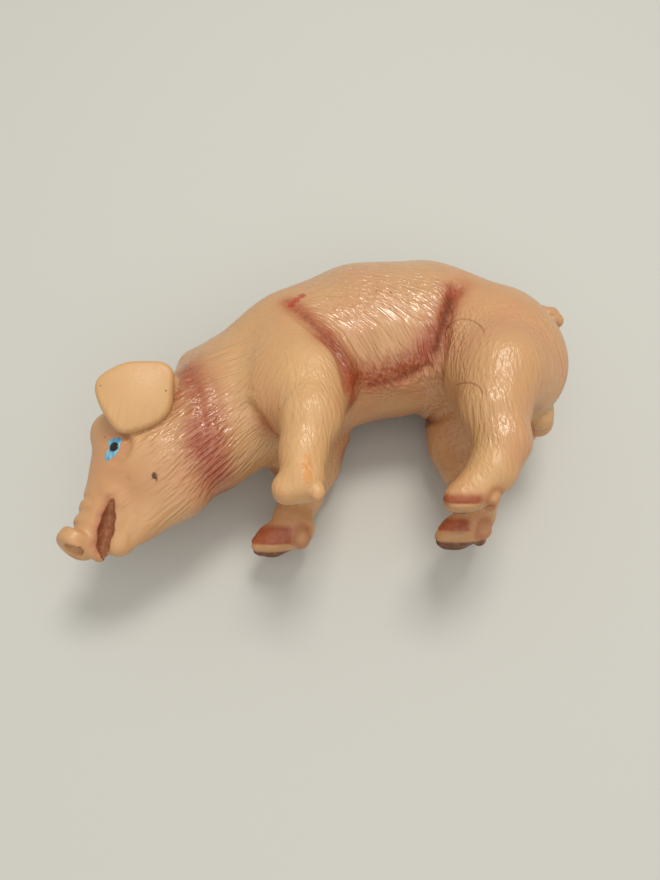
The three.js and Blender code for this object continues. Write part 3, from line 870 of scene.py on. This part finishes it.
@dataclass
class Sculpt:
    """The meshed skin with its finishes, and its division into pieces."""

    piglet: Piglet
    lie: Lie
    mesher: SkinMesher
    coat: Coat = field(default_factory=Coat)
    paintwork: Paintwork = field(default_factory=Paintwork)
    neck_seam: tuple = (12.4, 17.8)
    neck_slope: float = 44.0
    net: Net = field(init=False)
    normals: Points = field(init=False)
    layers: dict = field(init=False)

    def build(self) -> None:
        """Meshes the skin and works out what each vertex carries."""
        self.net = self.mesher.mesh(self.piglet.surface)
        p = self.net.verts
        self.lie.rest(p)
        log.info("skin: %d vertices, %d quads", len(p), len(self.net.quads))
        self.normals = unit(gradient(self.piglet.surface, p))
        hooves = self.paintwork.hooves(p)
        wash = self.paintwork.wash(p, self.piglet.head)
        labels = self.labels(p)
        ear = (labels == Piece.LEFT_EAR.value) | (labels == Piece.RIGHT_EAR.value)
        # the ears: paler vinyl, with little red-brown and little painted shade and dirt
        wash[ear, 2] = 0.6
        wash[ear, 0] *= 0.25
        wash[ear, 1] *= 0.2
        # no hair under the hooves' paint; the ears borrow the brow's faint hair, more towards their tips
        keep = 1.0 - np.clip(1.6 * hooves.sum(axis=1), 0, 1)
        keep *= np.where(ear, 4.0 * ease(p[:, 2], 12.4, 10.0), 1.0)
        shares = self.coat.shares(np.where(ear[:, None], np.array([25.0, 0.0, 12.0]), p), keep)
        self.layers = {"form": p, "pelt": both_sides(p), "wash": wash, "hoof": hooves,
                       "comb_a": shares[:, 0], "comb_b": shares[:, 1], "comb_c": shares[:, 2],
                       "relief": np.repeat(shares.sum(axis=(1, 2))[:, None], 3, axis=1)}

    def labels(self, p: Points) -> np.ndarray:
        """Name of the piece that each point belongs to: the one whose own shape it is nearest to."""
        pig = self.piglet
        angle = np.radians(self.neck_slope)
        ahead = (p[:, 0] - self.neck_seam[0]) * np.cos(angle) - (p[:, 2] - self.neck_seam[1]) * np.sin(angle)
        out = np.where(ahead > 0, Piece.HEAD.value, Piece.TORSO.value).astype("<U16")
        face = pig.head.field(p)
        trunk = np.minimum(pig.torso.trunk(p), face)
        bulge = {True: pig.torso.shoulder(p), False: pig.torso.haunch(p)}
        best = trunk + 0.25    # mm: a leg claims the skin only where it stands a little proud of the trunk
        for name, leg in LEGS.items():
            other_side = np.sign(p[:, 1]) != np.sign(leg.joints[0][1])
            swell = np.where(other_side, np.inf, bulge[name.startswith("front")])
            value = np.minimum(pig.leg_field(p, leg), swell)
            out[value < best] = name
            best = np.minimum(best, value)
        out[pig.scrotum.field(p) < best] = Piece.TORSO.value
        tail = near_box(p, (-31, -2, 28), (-27.6, 2, 33), pig.tail.field)
        out[(tail < 0.3) & (tail < trunk - 0.3)] = Piece.TAIL.value
        for side, name in ((1, Piece.LEFT_EAR.value), (-1, Piece.RIGHT_EAR.value)):
            out[pig.ear_field(p, side) < face - 0.1] = name
        return out

    def owners(self) -> np.ndarray:
        """Name of the piece that each quad belongs to, with stray patches given to the piece round them."""
        middle = self.net.verts[self.net.quads].mean(axis=1)
        names = self.labels(middle)
        for piece in Piece:
            own = np.flatnonzero(names == piece.value)
            if not len(own):
                continue
            group = self.groups(own)
            sizes = np.bincount(group)
            stray = own[sizes[group] < sizes.max()]
            fallback = Piece.TORSO.value if piece is not Piece.TORSO else Piece.HEAD.value
            names[stray] = fallback
        return names

    def groups(self, own: np.ndarray) -> np.ndarray:
        """Number of the connected patch that each of some quads belongs to."""
        quads = self.net.quads[own]
        mark = np.arange(len(self.net.verts))
        while True:
            least = mark[quads].min(axis=1)
            new = mark.copy()
            for k in range(4):
                np.minimum.at(new, quads[:, k], least)
            new = new[new]
            if np.array_equal(new, mark):
                break
            mark = new
        return np.unique(mark[quads[:, 0]], return_inverse=True)[1]

    def cut_out(self, name: str, owners: np.ndarray, material: bpy.types.Material) -> bpy.types.Object:
        """Makes the object for one piece, closed behind its seams.

        Args:
            name: the piece.
            owners: the name of the piece that each quad belongs to.
            material: its finish.

        Returns:
            The new object, in the part's frame.
        """
        quads = self.net.quads[owners == name]
        used, local = np.unique(quads, return_inverse=True)
        local = local.reshape(quads.shape)
        verts, normals = self.net.verts[used], self.normals[used]
        centres, fans = [], []
        for loop in boundary_loops(local):
            ring = verts[loop]
            middle = ring.mean(axis=0)
            if name == Piece.TORSO.value:
                size = np.linalg.norm(ring - middle, axis=1).mean()
                middle = middle - 0.25 * size * unit(normals[loop].mean(axis=0))
            hub = len(verts) + len(centres)
            centres.append(middle)
            fans += [(b, a, hub) for a, b in zip(loop, np.roll(loop, -1))]
        points = np.concatenate([verts, np.array(centres).reshape(-1, 3)])
        rows = np.concatenate([np.arange(len(verts)), np.zeros(len(centres), dtype=int)])
        layers = {layer: values[used][rows] for layer, values in self.layers.items()}
        layers |= {"form": points, "custom_normal": self.lie.aim(normals[rows])}
        faces = [tuple(q) for q in local.tolist()] + fans
        return shown(name + "_skin", self.lie.place(points), faces, material, layers)


def boundary_loops(quads: np.ndarray) -> list[list[int]]:
    """Closed rings of vertices round the open edges of a mesh, in the direction of its faces."""
    ends = quad_edges(quads)
    big = int(quads.max()) + 1
    forward = ends[:, 0] * big + ends[:, 1]
    backward = ends[:, 1] * big + ends[:, 0]
    open_ends = ends[~np.isin(forward, backward)]
    onward: dict[int, list[int]] = {}
    for a, b in open_ends.tolist():
        onward.setdefault(a, []).append(b)
    loops = []
    while onward:
        start = next(iter(onward))
        loop, at = [], start
        while at in onward:
            loop.append(at)
            following = onward[at].pop()
            if not onward[at]:
                del onward[at]
            at = following
        loops.append(loop)
    return loops


def shown(name: str, points: Points, faces: list, material: bpy.types.Material,
          layers: dict) -> bpy.types.Object:
    """Makes a mesh object and puts it in the scene.

    Args:
        name: of the object and its mesh.
        points: its vertices, in the part's frame, in metres.
        faces: the vertex numbers of each face.
        material: its finish.
        layers: vector attributes of its points, by name.

    Returns:
        The new object.
    """
    mesh = bpy.data.meshes.new(name)
    mesh.from_pydata(np.asarray(points).tolist(), [], faces)
    mesh.polygons.foreach_set("use_smooth", np.ones(len(faces), dtype=bool))
    for layer, values in layers.items():
        store = mesh.attributes.new(layer, "FLOAT_VECTOR", "POINT")
        store.data.foreach_set("vector", values.astype(np.float32).ravel())
    mesh.materials.append(material)
    return put(name, mesh)


def put(name: str, data: bpy.types.ID) -> bpy.types.Object:
    """Makes an object of some data and puts it in the scene."""
    made = bpy.data.objects.new(name, data)
    bpy.context.scene.collection.objects.link(made)
    return made


def install(piece: bpy.types.Object, slot: str, *nodes: str) -> None:
    """Fixes a piece to the figurine and says which CAD nodes it stands for."""
    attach(piece, "root")
    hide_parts(*nodes)
    log.info("%s: %d faces, stands for %s", piece.name, len(piece.data.polygons), ", ".join(nodes))


# ------------------------------------------------------------------ finishes


def linear(hex_colour: str) -> tuple[float, float, float, float]:
    """An sRGB hex colour as linear RGBA."""
    srgb = [int(hex_colour[k:k + 2], 16) / 255 for k in (1, 3, 5)]
    return tuple(c / 12.92 if c <= 0.04045 else ((c + 0.055) / 1.055) ** 2.4 for c in srgb) + (1.0,)


def add(tree: bpy.types.NodeTree, kind: str, **values: object) -> bpy.types.Node:
    """Adds a node.

    Args:
        tree: the material's node tree.
        kind: the node's type name, after the prefix that they all share.
        **values: a lower-case name is a property of the node itself. The others go into its inputs, by name
            with spaces as underscores or by number after an i: a socket, or a node's first output, is
            linked, and anything else is set.

    Returns:
        The new node.
    """
    node = tree.nodes.new("ShaderNode" + kind)
    inputs = {}
    for key, value in values.items():
        if key[0] == "i" and key[1:].isdigit():
            inputs[int(key[1:])] = value
        elif key.islower():
            setattr(node, key, value)
        else:
            inputs[key.replace("_", " ")] = value
    for key, value in inputs.items():
        if isinstance(value, bpy.types.Node):
            value = value.outputs[0]
        if isinstance(value, bpy.types.NodeSocket):
            tree.links.new(value, node.inputs[key])
        else:
            node.inputs[key].default_value = value
    return node


def blank(name: str) -> tuple[bpy.types.Material, bpy.types.NodeTree]:
    """A new material with an empty node tree."""
    material = bpy.data.materials.new(name)
    material.use_nodes = True
    material.node_tree.nodes.clear()
    return material, material.node_tree


@dataclass(frozen=True)
class MouldedVinyl:
    """Soft PVC cast in a steel mould, hand-finished with sprayed and brushed paint.

    The vinyl is faintly see-through, so light softens inside it. Its skin has the mould's fine grain, and the
    combed hair breaks the gloss into short glints. The sprayed red-brown collects in the strokes.
    """

    name: str = "moulded_pvc"
    flesh: str = "#C49867"
    rosy: str = "#C38F63"
    yellowed: str = "#D0A770"
    blush: str = "#963A12"
    # dark brown of the painted shade and dirt in the creases, the mouth and the nostrils
    shade_and_dirt: str = "#683212"
    coronet: str = "#9C4E2A"
    nail: str = "#B98A5C"
    sole: str = "#66381C"
    red_paint: str = "#A82E1C"
    amber: str = "#C9802F"
    speck: str = "#562A0E"
    roughness: float = 0.28
    coat: float = 0.55              # weight of the gloss where the hair is deepest
    stroke_pitch: float = 0.38      # mm from one stroke of hair to the next
    stroke_length: float = 5.5      # mm
    stroke_depth: float = 0.15      # mm
    witness_lines: tuple = (((-15.5, 9.4, 20.8), 1.8), ((-14.8, 9.6, 12.1), 1.45))
    cheek_speck: tuple = (19.1, 4.6, 4.7)
    red_marks: tuple = ((4.6, 8.4, 25.7), (4.1, 8.3, 26.5), (3.4, 8.2, 27.2))
    amber_stains: tuple = ((2.4, 9.9, 3.5), (2.3, 9.8, 2.2))

    def strokes(self, tree: bpy.types.NodeTree) -> bpy.types.Node:
        """Height of the combed hair, 0 to 1, from nine banks of strokes 20 degrees apart."""
        pelt = add(tree, "Attribute", attribute_name="pelt").outputs["Vector"]
        stretch = (1 / self.stroke_length, 1 / self.stroke_pitch, 1 / self.stroke_pitch)
        total = 0.0
        for group, letter in enumerate("abc"):
            comb = add(tree, "Attribute", attribute_name=f"comb_{letter}").outputs["Vector"]
            for k, share in enumerate(add(tree, "SeparateXYZ", i0=comb).outputs):
                bank = 3 * group + k
                combed = add(tree, "VectorRotate", rotation_type="AXIS_ANGLE", Vector=pelt, Axis=FLANK,
                             Angle=np.radians(20.0 * bank))
                laid = add(tree, "VectorMath", operation="MULTIPLY", i0=combed, i1=stretch)
                noise = add(tree, "TexNoise", noise_dimensions="4D", Vector=laid, W=3.7 * bank, Scale=1.0,
                            Detail=1.5, Roughness=0.4)
                ridge = add(tree, "MapRange", interpolation_type="SMOOTHSTEP", Value=noise, From_Min=0.34,
                            From_Max=0.66)
                total = add(tree, "Math", operation="MULTIPLY_ADD", i0=ridge, i1=share, i2=total)
        return total

    def ring(self, tree: bpy.types.NodeTree, form: bpy.types.NodeSocket, centre: tuple,
             radius: float) -> bpy.types.Node:
        """A hair-thin arc that the mould's insert left on a thigh: the upper half of a circle."""
        rel = add(tree, "VectorMath", operation="SUBTRACT", i0=form, i1=centre)
        up = add(tree, "VectorMath", operation="DOT_PRODUCT", i0=rel, i1=UP_FLANK).outputs["Value"]
        across = add(tree, "SeparateXYZ", i0=rel).outputs[0]
        flat = add(tree, "CombineXYZ", i0=across, i1=up)
        reach = add(tree, "VectorMath", operation="LENGTH", i0=flat).outputs["Value"]
        gap = add(tree, "Math", operation="SUBTRACT", i0=reach, i1=radius)
        gap = add(tree, "Math", operation="ABSOLUTE", i0=gap)
        line = add(tree, "MapRange", interpolation_type="SMOOTHSTEP", Value=gap, From_Min=0.13, From_Max=0.03)
        upper = add(tree, "MapRange", Value=up, From_Min=-0.9, From_Max=0.1)
        away = add(tree, "VectorMath", operation="LENGTH", i0=rel).outputs["Value"]
        close = add(tree, "MapRange", Value=away, From_Min=4.0, From_Max=3.4)
        arc = add(tree, "Math", operation="MULTIPLY", i0=line, i1=upper)
        return add(tree, "Math", operation="MULTIPLY", i0=arc, i1=close)

    def spot(self, tree: bpy.types.NodeTree, form: bpy.types.NodeSocket, centre: tuple, squash: tuple,
             size: float) -> bpy.types.Node:
        """A ragged spot of paint or dirt."""
        rel = add(tree, "VectorMath", operation="SUBTRACT", i0=form, i1=centre)
        fit = add(tree, "VectorMath", operation="MULTIPLY", i0=rel, i1=squash)
        reach = add(tree, "VectorMath", operation="LENGTH", i0=fit).outputs["Value"]
        ragged = add(tree, "TexNoise", Vector=form, Scale=3.0, Detail=2.0)
        edge = add(tree, "Math", operation="MULTIPLY_ADD", i0=ragged, i1=size, i2=reach)
        return add(tree, "MapRange", interpolation_type="SMOOTHSTEP", Value=edge, From_Min=1.15 * size,
                   From_Max=0.8 * size)

    def material(self) -> bpy.types.Material:
        """Builds the finish: coats of colour one over another, then the relief and the gloss."""
        material, tree = blank(self.name)
        form, wash, hoof, combed = (add(tree, "Attribute", attribute_name=layer).outputs["Vector"]
                                    for layer in ("form", "wash", "hoof", "relief"))
        blush, shade_and_dirt, pale = add(tree, "SeparateXYZ", i0=wash).outputs
        coronet, nail, sole = add(tree, "SeparateXYZ", i0=hoof).outputs
        hair = self.strokes(tree)

        # cloudy colour of the vinyl, in patches about a centimetre across, and its yellowed places
        cloud = add(tree, "TexNoise", Vector=form, Scale=0.14, Detail=2.0, Roughness=0.5)
        cloudy = add(tree, "MapRange", Value=cloud, From_Min=0.35, From_Max=0.65)
        patch = add(tree, "TexNoise", Vector=form, Scale=0.5, Detail=1.0)
        patchy = add(tree, "MapRange", Value=patch, From_Min=0.25, From_Max=0.6, To_Min=0.6)
        yellow = add(tree, "Math", operation="MULTIPLY", i0=pale, i1=patchy)

        # sprayed red-brown: thinner on the crest of each stroke, and broken by the spray's specks of 0.2 mm
        spray = add(tree, "TexNoise", Vector=form, Scale=2.2, Detail=3.0, Roughness=0.6)
        worn = add(tree, "MapRange", Value=spray, From_Min=0.3, From_Max=0.7, To_Min=0.8, To_Max=1.2)
        crest = add(tree, "MapRange", Value=hair, To_Min=1.08, To_Max=0.8)
        thin = add(tree, "Math", operation="MULTIPLY", i0=worn, i1=crest)
        sprayed = add(tree, "Math", operation="MULTIPLY", use_clamp=True, i0=blush, i1=thin)

        # painted shade and dirt left dark in the creases, broken into gritty grains of 0.2 to 0.3 mm
        grit = add(tree, "TexNoise", Vector=form, Scale=3.6, Detail=2.0, Roughness=0.7)
        gritty = add(tree, "MapRange", interpolation_type="SMOOTHSTEP", Value=grit, From_Min=0.36,
                     From_Max=0.58, To_Min=0.5)
        gritty_shade_and_dirt = add(tree, "Math", operation="MULTIPLY", i0=shade_and_dirt, i1=gritty)
        coats = [(cloudy, self.rosy), (yellow, self.yellowed), (sprayed, self.blush), (gritty_shade_and_dirt, self.shade_and_dirt)]

        # brushed hoof paint: a bare brown nail, a red-brown coronet and a dark sole edge
        for band, paint in ((nail, self.nail), (coronet, self.coronet), (sole, self.sole)):
            coats.append((add(tree, "Math", operation="MULTIPLY", i0=band, i1=worn), paint))

        # specks of dirt, 0.15 to 0.3 mm, one to every few square millimetres
        crumbs = add(tree, "TexVoronoi", Vector=form, Scale=0.55, Randomness=1.0)
        crumb = add(tree, "MapRange", Value=crumbs.outputs["Distance"], From_Min=0.085, From_Max=0.045)
        pick = add(tree, "SeparateColor", i0=crumbs.outputs["Color"])
        few = add(tree, "MapRange", Value=pick, From_Min=0.66, From_Max=0.9, To_Max=0.8)
        coats.append((add(tree, "Math", operation="MULTIPLY", i0=crumb, i1=few), self.speck))

        # the cheek's speck and the marks of play: place, squash along each axis, size, strength and paint
        spots = [(self.cheek_speck, (1.2, 0.5, 1.0), 0.8, 1.0, self.speck)]
        spots += [(at, (1.0, 0.5, 1.0), 1.0, 0.8, self.red_paint) for at in self.red_marks]
        spots += [(at, (1.0, 0.5, 0.5), 1.0, 0.55, self.amber) for at in self.amber_stains]
        for at, squash, size, strength, paint in spots:
            ragged = self.spot(tree, form, at, squash, size)
            coats.append((add(tree, "Math", operation="MULTIPLY", i0=ragged, i1=strength), paint))

        # relief: hair strokes, the mould's witness lines and a fine grain of 0.3 mm
        relief = hair
        for centre, radius in self.witness_lines:
            line = self.ring(tree, form, centre, radius)
            relief = add(tree, "Math", operation="MULTIPLY_ADD", i0=line, i1=0.5, i2=relief)
            coats.append((add(tree, "Math", operation="MULTIPLY", i0=line, i1=0.35), self.blush))
        grain = add(tree, "TexNoise", Vector=form, Scale=3.0, Detail=2.0, Roughness=0.5)
        relief = add(tree, "Math", operation="MULTIPLY_ADD", i0=grain, i1=0.18, i2=relief)
        bump = add(tree, "Bump", Strength=1.0, Distance=self.stroke_depth * MM, Height=relief)

        colour = linear(self.flesh)
        for cover, paint in coats:
            colour = add(tree, "Mix", data_type="RGBA", i0=cover, i6=colour, i7=linear(paint)).outputs[2]

        # gloss: the combed places came off bright steel, and the smooth, the sprayed and the shade-darkened
        # places are duller
        dull = add(tree, "MapRange", Value=combed, From_Min=0.3, From_Max=0.85, To_Min=self.roughness + 0.14,
                   To_Max=self.roughness)
        for mask, more in ((sprayed, 0.10), (shade_and_dirt, 0.4), (cloudy, 0.08)):
            dull = add(tree, "Math", operation="MULTIPLY_ADD", i0=mask, i1=more, i2=dull)
        wet = add(tree, "MapRange", Value=combed, From_Min=0.4, From_Max=0.85, To_Min=0.06, To_Max=self.coat)
        clean = add(tree, "MapRange", Value=shade_and_dirt, From_Max=0.7, To_Min=1.0, To_Max=0.0)
        wet = add(tree, "Math", operation="MULTIPLY", i0=wet, i1=clean)
        shader = add(tree, "BsdfPrincipled", Base_Color=colour, Roughness=dull, IOR=1.53, Normal=bump,
                     Coat_Weight=wet, Coat_Roughness=0.09, Coat_IOR=1.5, Coat_Normal=bump,
                     Subsurface_Weight=0.12, Subsurface_Radius=(1.0, 0.45, 0.25), Subsurface_Scale=0.0009)
        add(tree, "OutputMaterial", Surface=shader)
        return material


@dataclass(frozen=True)
class Enamel:
    """Hand-brushed enamel dot on the eye: a thick wet-looking coat with streaks from the brush."""

    name: str
    thick: str
    thin: str
    streak: float = 0.35    # mm between brush streaks
    roughness: float = 0.28

    def material(self) -> bpy.types.Material:
        """Builds the finish."""
        material, tree = blank(self.name)
        form = add(tree, "Attribute", attribute_name="form").outputs["Vector"]
        drawn = add(tree, "VectorMath", operation="MULTIPLY", i0=form,
                    i1=(1 / self.streak, 0.6 / self.streak, 0.35 / self.streak))
        noise = add(tree, "TexNoise", Vector=drawn, Scale=1.0, Detail=2.0)
        streaks = add(tree, "MapRange", Value=noise, From_Min=0.38, From_Max=0.66)
        mix = add(tree, "Mix", data_type="RGBA", i0=streaks, i6=linear(self.thick), i7=linear(self.thin))
        bump = add(tree, "Bump", Strength=0.6, Distance=0.03 * MM, Height=noise)
        shader = add(tree, "BsdfPrincipled", Base_Color=mix.outputs[2], Roughness=self.roughness, IOR=1.5,
                     Normal=bump)
        add(tree, "OutputMaterial", Surface=shader)
        return material


# ------------------------------------------------------------------ eyes


@dataclass
class EyePaint:
    """The blue almond and the black pupil brushed on an eye, as thin shells that follow the skin."""

    piglet: Piglet
    lie: Lie
    iris_outline: tuple = (
        (0.50, 1.42), (0.98, 1.10), (1.20, 0.10), (1.06, -0.72), (0.76, -0.78), (0.40, -0.62),
        (-0.30, -0.60), (-0.85, -0.30), (-1.30, 0.20), (-1.68, 1.00), (-1.30, 1.42), (-0.70, 1.36),
        (-0.20, 0.95), (0.16, 1.15),
    )
    pupil_radius: float = 0.60
    pupil_at: tuple = (0.0, 0.16)
    pupil_lift: float = 0.18     # mm over the skin
    thickness: float = 0.07      # mm of blue over the skin
    sunk: float = 0.12           # mm that both reach below the skin

    def axes(self) -> np.ndarray:
        """The eye's own axes as columns: up the face, towards the ear, and out of the eye."""
        at = np.array([self.piglet.head.eye_at])
        out = unit(gradient(self.piglet.head.field, at))[0]
        up = unit(np.array(UP_FLANK) - out * (out @ np.array(UP_FLANK)))
        return np.stack([up, np.cross(out, up), out], axis=1)

    def shell(self, outline: Points, lift: float, rings: int = 8) -> Net:
        """A domed shell over an outline in the eye's own plane, laid on the skin.

        Args:
            outline: the outline's points, up the face and towards the snout.
            lift: height of the shell's middle over the skin.
            rings: rows of vertices from the middle to the rim.

        Returns:
            The shell's triangles and quads as quads, with repeated corners at the middle.
        """
        count = len(outline)
        middle = outline.mean(axis=0)
        steps = np.arange(1, rings + 1) / rings
        flat = np.concatenate([[middle]] + [middle + (outline - middle) * step for step in steps])
        part = np.concatenate([[0.0], np.repeat(steps, count)])
        axes = self.axes()
        p = np.asarray(self.piglet.head.eye_at) + flat @ axes[:, :2].T
        mesher = SkinMesher(2.0)
        for _ in range(6):
            p = mesher.settle(p, self.piglet.surface)
        out = unit(gradient(self.piglet.surface, p))
        top = p + out * (lift - (lift + 0.03) * part ** 9)[:, None]
        under = p - out * self.sunk
        quads = []
        for k in range(count):
            n = (k + 1) % count
            quads.append((0, 1 + k, 1 + n, 1 + n))
            for r in range(rings - 1):
                a, b = 1 + r * count + k, 1 + r * count + n
                quads.append((a, a + count, b + count, b))
        size = len(p)
        rim = [(size - count + k, 2 * size - count + k, 2 * size - count + (k + 1) % count,
                size - count + (k + 1) % count) for k in range(count)]
        back = [tuple(size + c for c in quad[::-1]) for quad in quads]
        return Net(np.concatenate([top, under]), np.array(quads + back + rim))

    def smooth_outline(self, outline: Sequence[Sequence[float]], each: int = 6) -> Points:
        """A closed smooth curve through points."""
        knots = np.asarray(outline, dtype=float)
        before, after, beyond = (np.roll(knots, k, axis=0) for k in (1, -1, -2))
        out = []
        for t in np.arange(each) / each:
            square = 2 * before - 5 * knots + 4 * after - beyond
            cube = 3 * knots - before - 3 * after + beyond
            out.append(0.5 * (2 * knots + (after - before) * t + square * t ** 2 + cube * t ** 3))
        return np.stack(out, axis=1).reshape(-1, 2)

    def make(self, name: str, net: Net, side: int, material: bpy.types.Material) -> bpy.types.Object:
        """Makes the object for one shell on one side of the head."""
        points = mirrored(net.verts, side)
        turn = side * self.handed()
        faces = [tuple(dict.fromkeys(quad))[::turn] for quad in net.quads.tolist()]
        return shown(name, self.lie.place(points), faces, material, {"form": points})

    def handed(self) -> int:
        """Which way round the outline runs, seen from outside."""
        flat = np.asarray(self.iris_outline)
        after = np.roll(flat, -1, axis=0)
        return 1 if (flat[:, 0] * after[:, 1] - flat[:, 1] * after[:, 0]).sum() > 0 else -1

    def build(self) -> None:
        """Makes both eyes."""
        blue = Enamel("brushed_blue_enamel", "#4A90B8", "#82BCD0").material()
        black = Enamel("brushed_black_enamel", "#070708", "#131316", roughness=0.2).material()
        iris = self.shell(self.smooth_outline(self.iris_outline), self.thickness)
        # a brushed dot is never quite round: a little taller than wide, with three soft bulges
        points = 28
        turn = np.arange(points) / points * 2 * np.pi * self.handed()
        ragged = self.pupil_radius * (1 + 0.03 * np.sin(3 * turn + 1.0))
        dot = np.stack([ragged * np.cos(turn), 1.12 * ragged * np.sin(turn)], axis=1) + self.pupil_at
        pupil = self.shell(dot, self.pupil_lift, rings=6)
        for side, name in ((1, "left"), (-1, "right")):
            install(self.make(f"{name}_iris_paint", iris, side, blue), "blue_enamel", f"{name}_iris")
            install(self.make(f"{name}_pupil_paint", pupil, side, black), "black_enamel", f"{name}_pupil")


# ------------------------------------------------------------------ studio


@dataclass
class Studio:
    """Camera, soft light and a plain pale floor."""

    lie: Lie
    toward: tuple = FLANK       # from the animal to the camera, in the animal's frame
    right: tuple = (-1.0, 0.0, 0.0)
    target: tuple = (0.0, 0.0, 12.0)
    distance: float = 83.0
    lens: float = 28.23
    floor_size: float = 1.2
    floor_colour: str = "#C2C2BC"
    world_colour: str = "#E8E7E3"
    world_strength: float = 0.64
    # name, place and side in metres, power in watts, colour
    lamps: tuple = (
        ("window", (0.04, 0.115, 0.355), 0.11, 0.66, "#FFFAF2"),
        ("fill", (0.02, -0.20, 0.36), 0.44, 0.62, "#FFFAF4"),
    )

    def camera(self) -> None:
        """Sets the camera on the belly side, well above the table."""
        back = self.lie.aim(np.array(self.toward))
        right = self.lie.aim(np.array(self.right))
        data = bpy.data.cameras.new("camera")
        data.lens, data.sensor_width = self.lens, 36.0
        data.clip_start, data.clip_end = 0.005, 5.0
        at = self.lie.place(np.array([self.target]) + self.distance * np.array([self.toward]))[0]
        bpy.context.scene.camera = self.aimed("camera", data, at, right, back)

    def lamp(self, name: str, at: Sequence[float], size: float, power: float, colour: str) -> None:
        """Adds a square soft light that faces the figurine."""
        data = bpy.data.lights.new(name, "AREA")
        data.size, data.energy, data.color = size, power, linear(colour)[:3]
        back = unit(np.asarray(at, dtype=float))
        self.aimed(name, data, at, unit(np.cross([0.0, 0.0, 1.0], back)), back)

    def aimed(self, name: str, data: bpy.types.ID, at: Sequence[float], right: np.ndarray,
              back: np.ndarray) -> bpy.types.Object:
        """Puts a camera or a light in its place, with its own x along right and its own z along back."""
        made = put(name, data)
        axes = np.stack([right, np.cross(back, right), back, at], axis=1)
        made.matrix_world = Matrix([*axes.tolist(), (0, 0, 0, 1)])
        return made

    def floor(self) -> None:
        """Adds the table top: plain matt painted board."""
        half = self.floor_size / 2
        material, tree = blank("matt_painted_board")
        shader = add(tree, "BsdfPrincipled", Base_Color=linear(self.floor_colour), Roughness=0.75)
        add(tree, "OutputMaterial", Surface=shader)
        corners = [(-half, -half, 0), (half, -half, 0), (half, half, 0), (-half, half, 0)]
        shown("floor", corners, [(0, 1, 2, 3)], material, {})

    def build(self) -> None:
        """Sets up everything that isn't the figurine."""
        self.camera()
        self.floor()
        for lamp in self.lamps:
            self.lamp(*lamp)
        world = bpy.data.worlds.new("pale_room")
        world.use_nodes = True
        backdrop = world.node_tree.nodes["Background"]
        backdrop.inputs[0].default_value = linear(self.world_colour)
        backdrop.inputs[1].default_value = self.world_strength
        bpy.context.scene.world = world
        bpy.context.scene.view_settings.view_transform = "Standard"


def main() -> None:
    """Builds the figurine and its studio."""
    logging.basicConfig(level=logging.INFO, format="%(name)s: %(message)s")
    lie = Lie()
    sculpt = Sculpt(Piglet(), lie, SkinMesher(0.2))
    sculpt.build()
    vinyl = MouldedVinyl().material()
    pale = MouldedVinyl("moulded_pvc_pale", roughness=0.34, coat=0.35).material()
    owners = sculpt.owners()
    for piece in Piece:
        is_ear = piece in (Piece.LEFT_EAR, Piece.RIGHT_EAR)
        made = sculpt.cut_out(piece.value, owners, pale if is_ear else vinyl)
        install(made, "pale_vinyl" if is_ear else "vinyl", piece.value)
    EyePaint(sculpt.piglet, lie).build()
    Studio(lie).build()


if __name__ == "__main__":
    main()
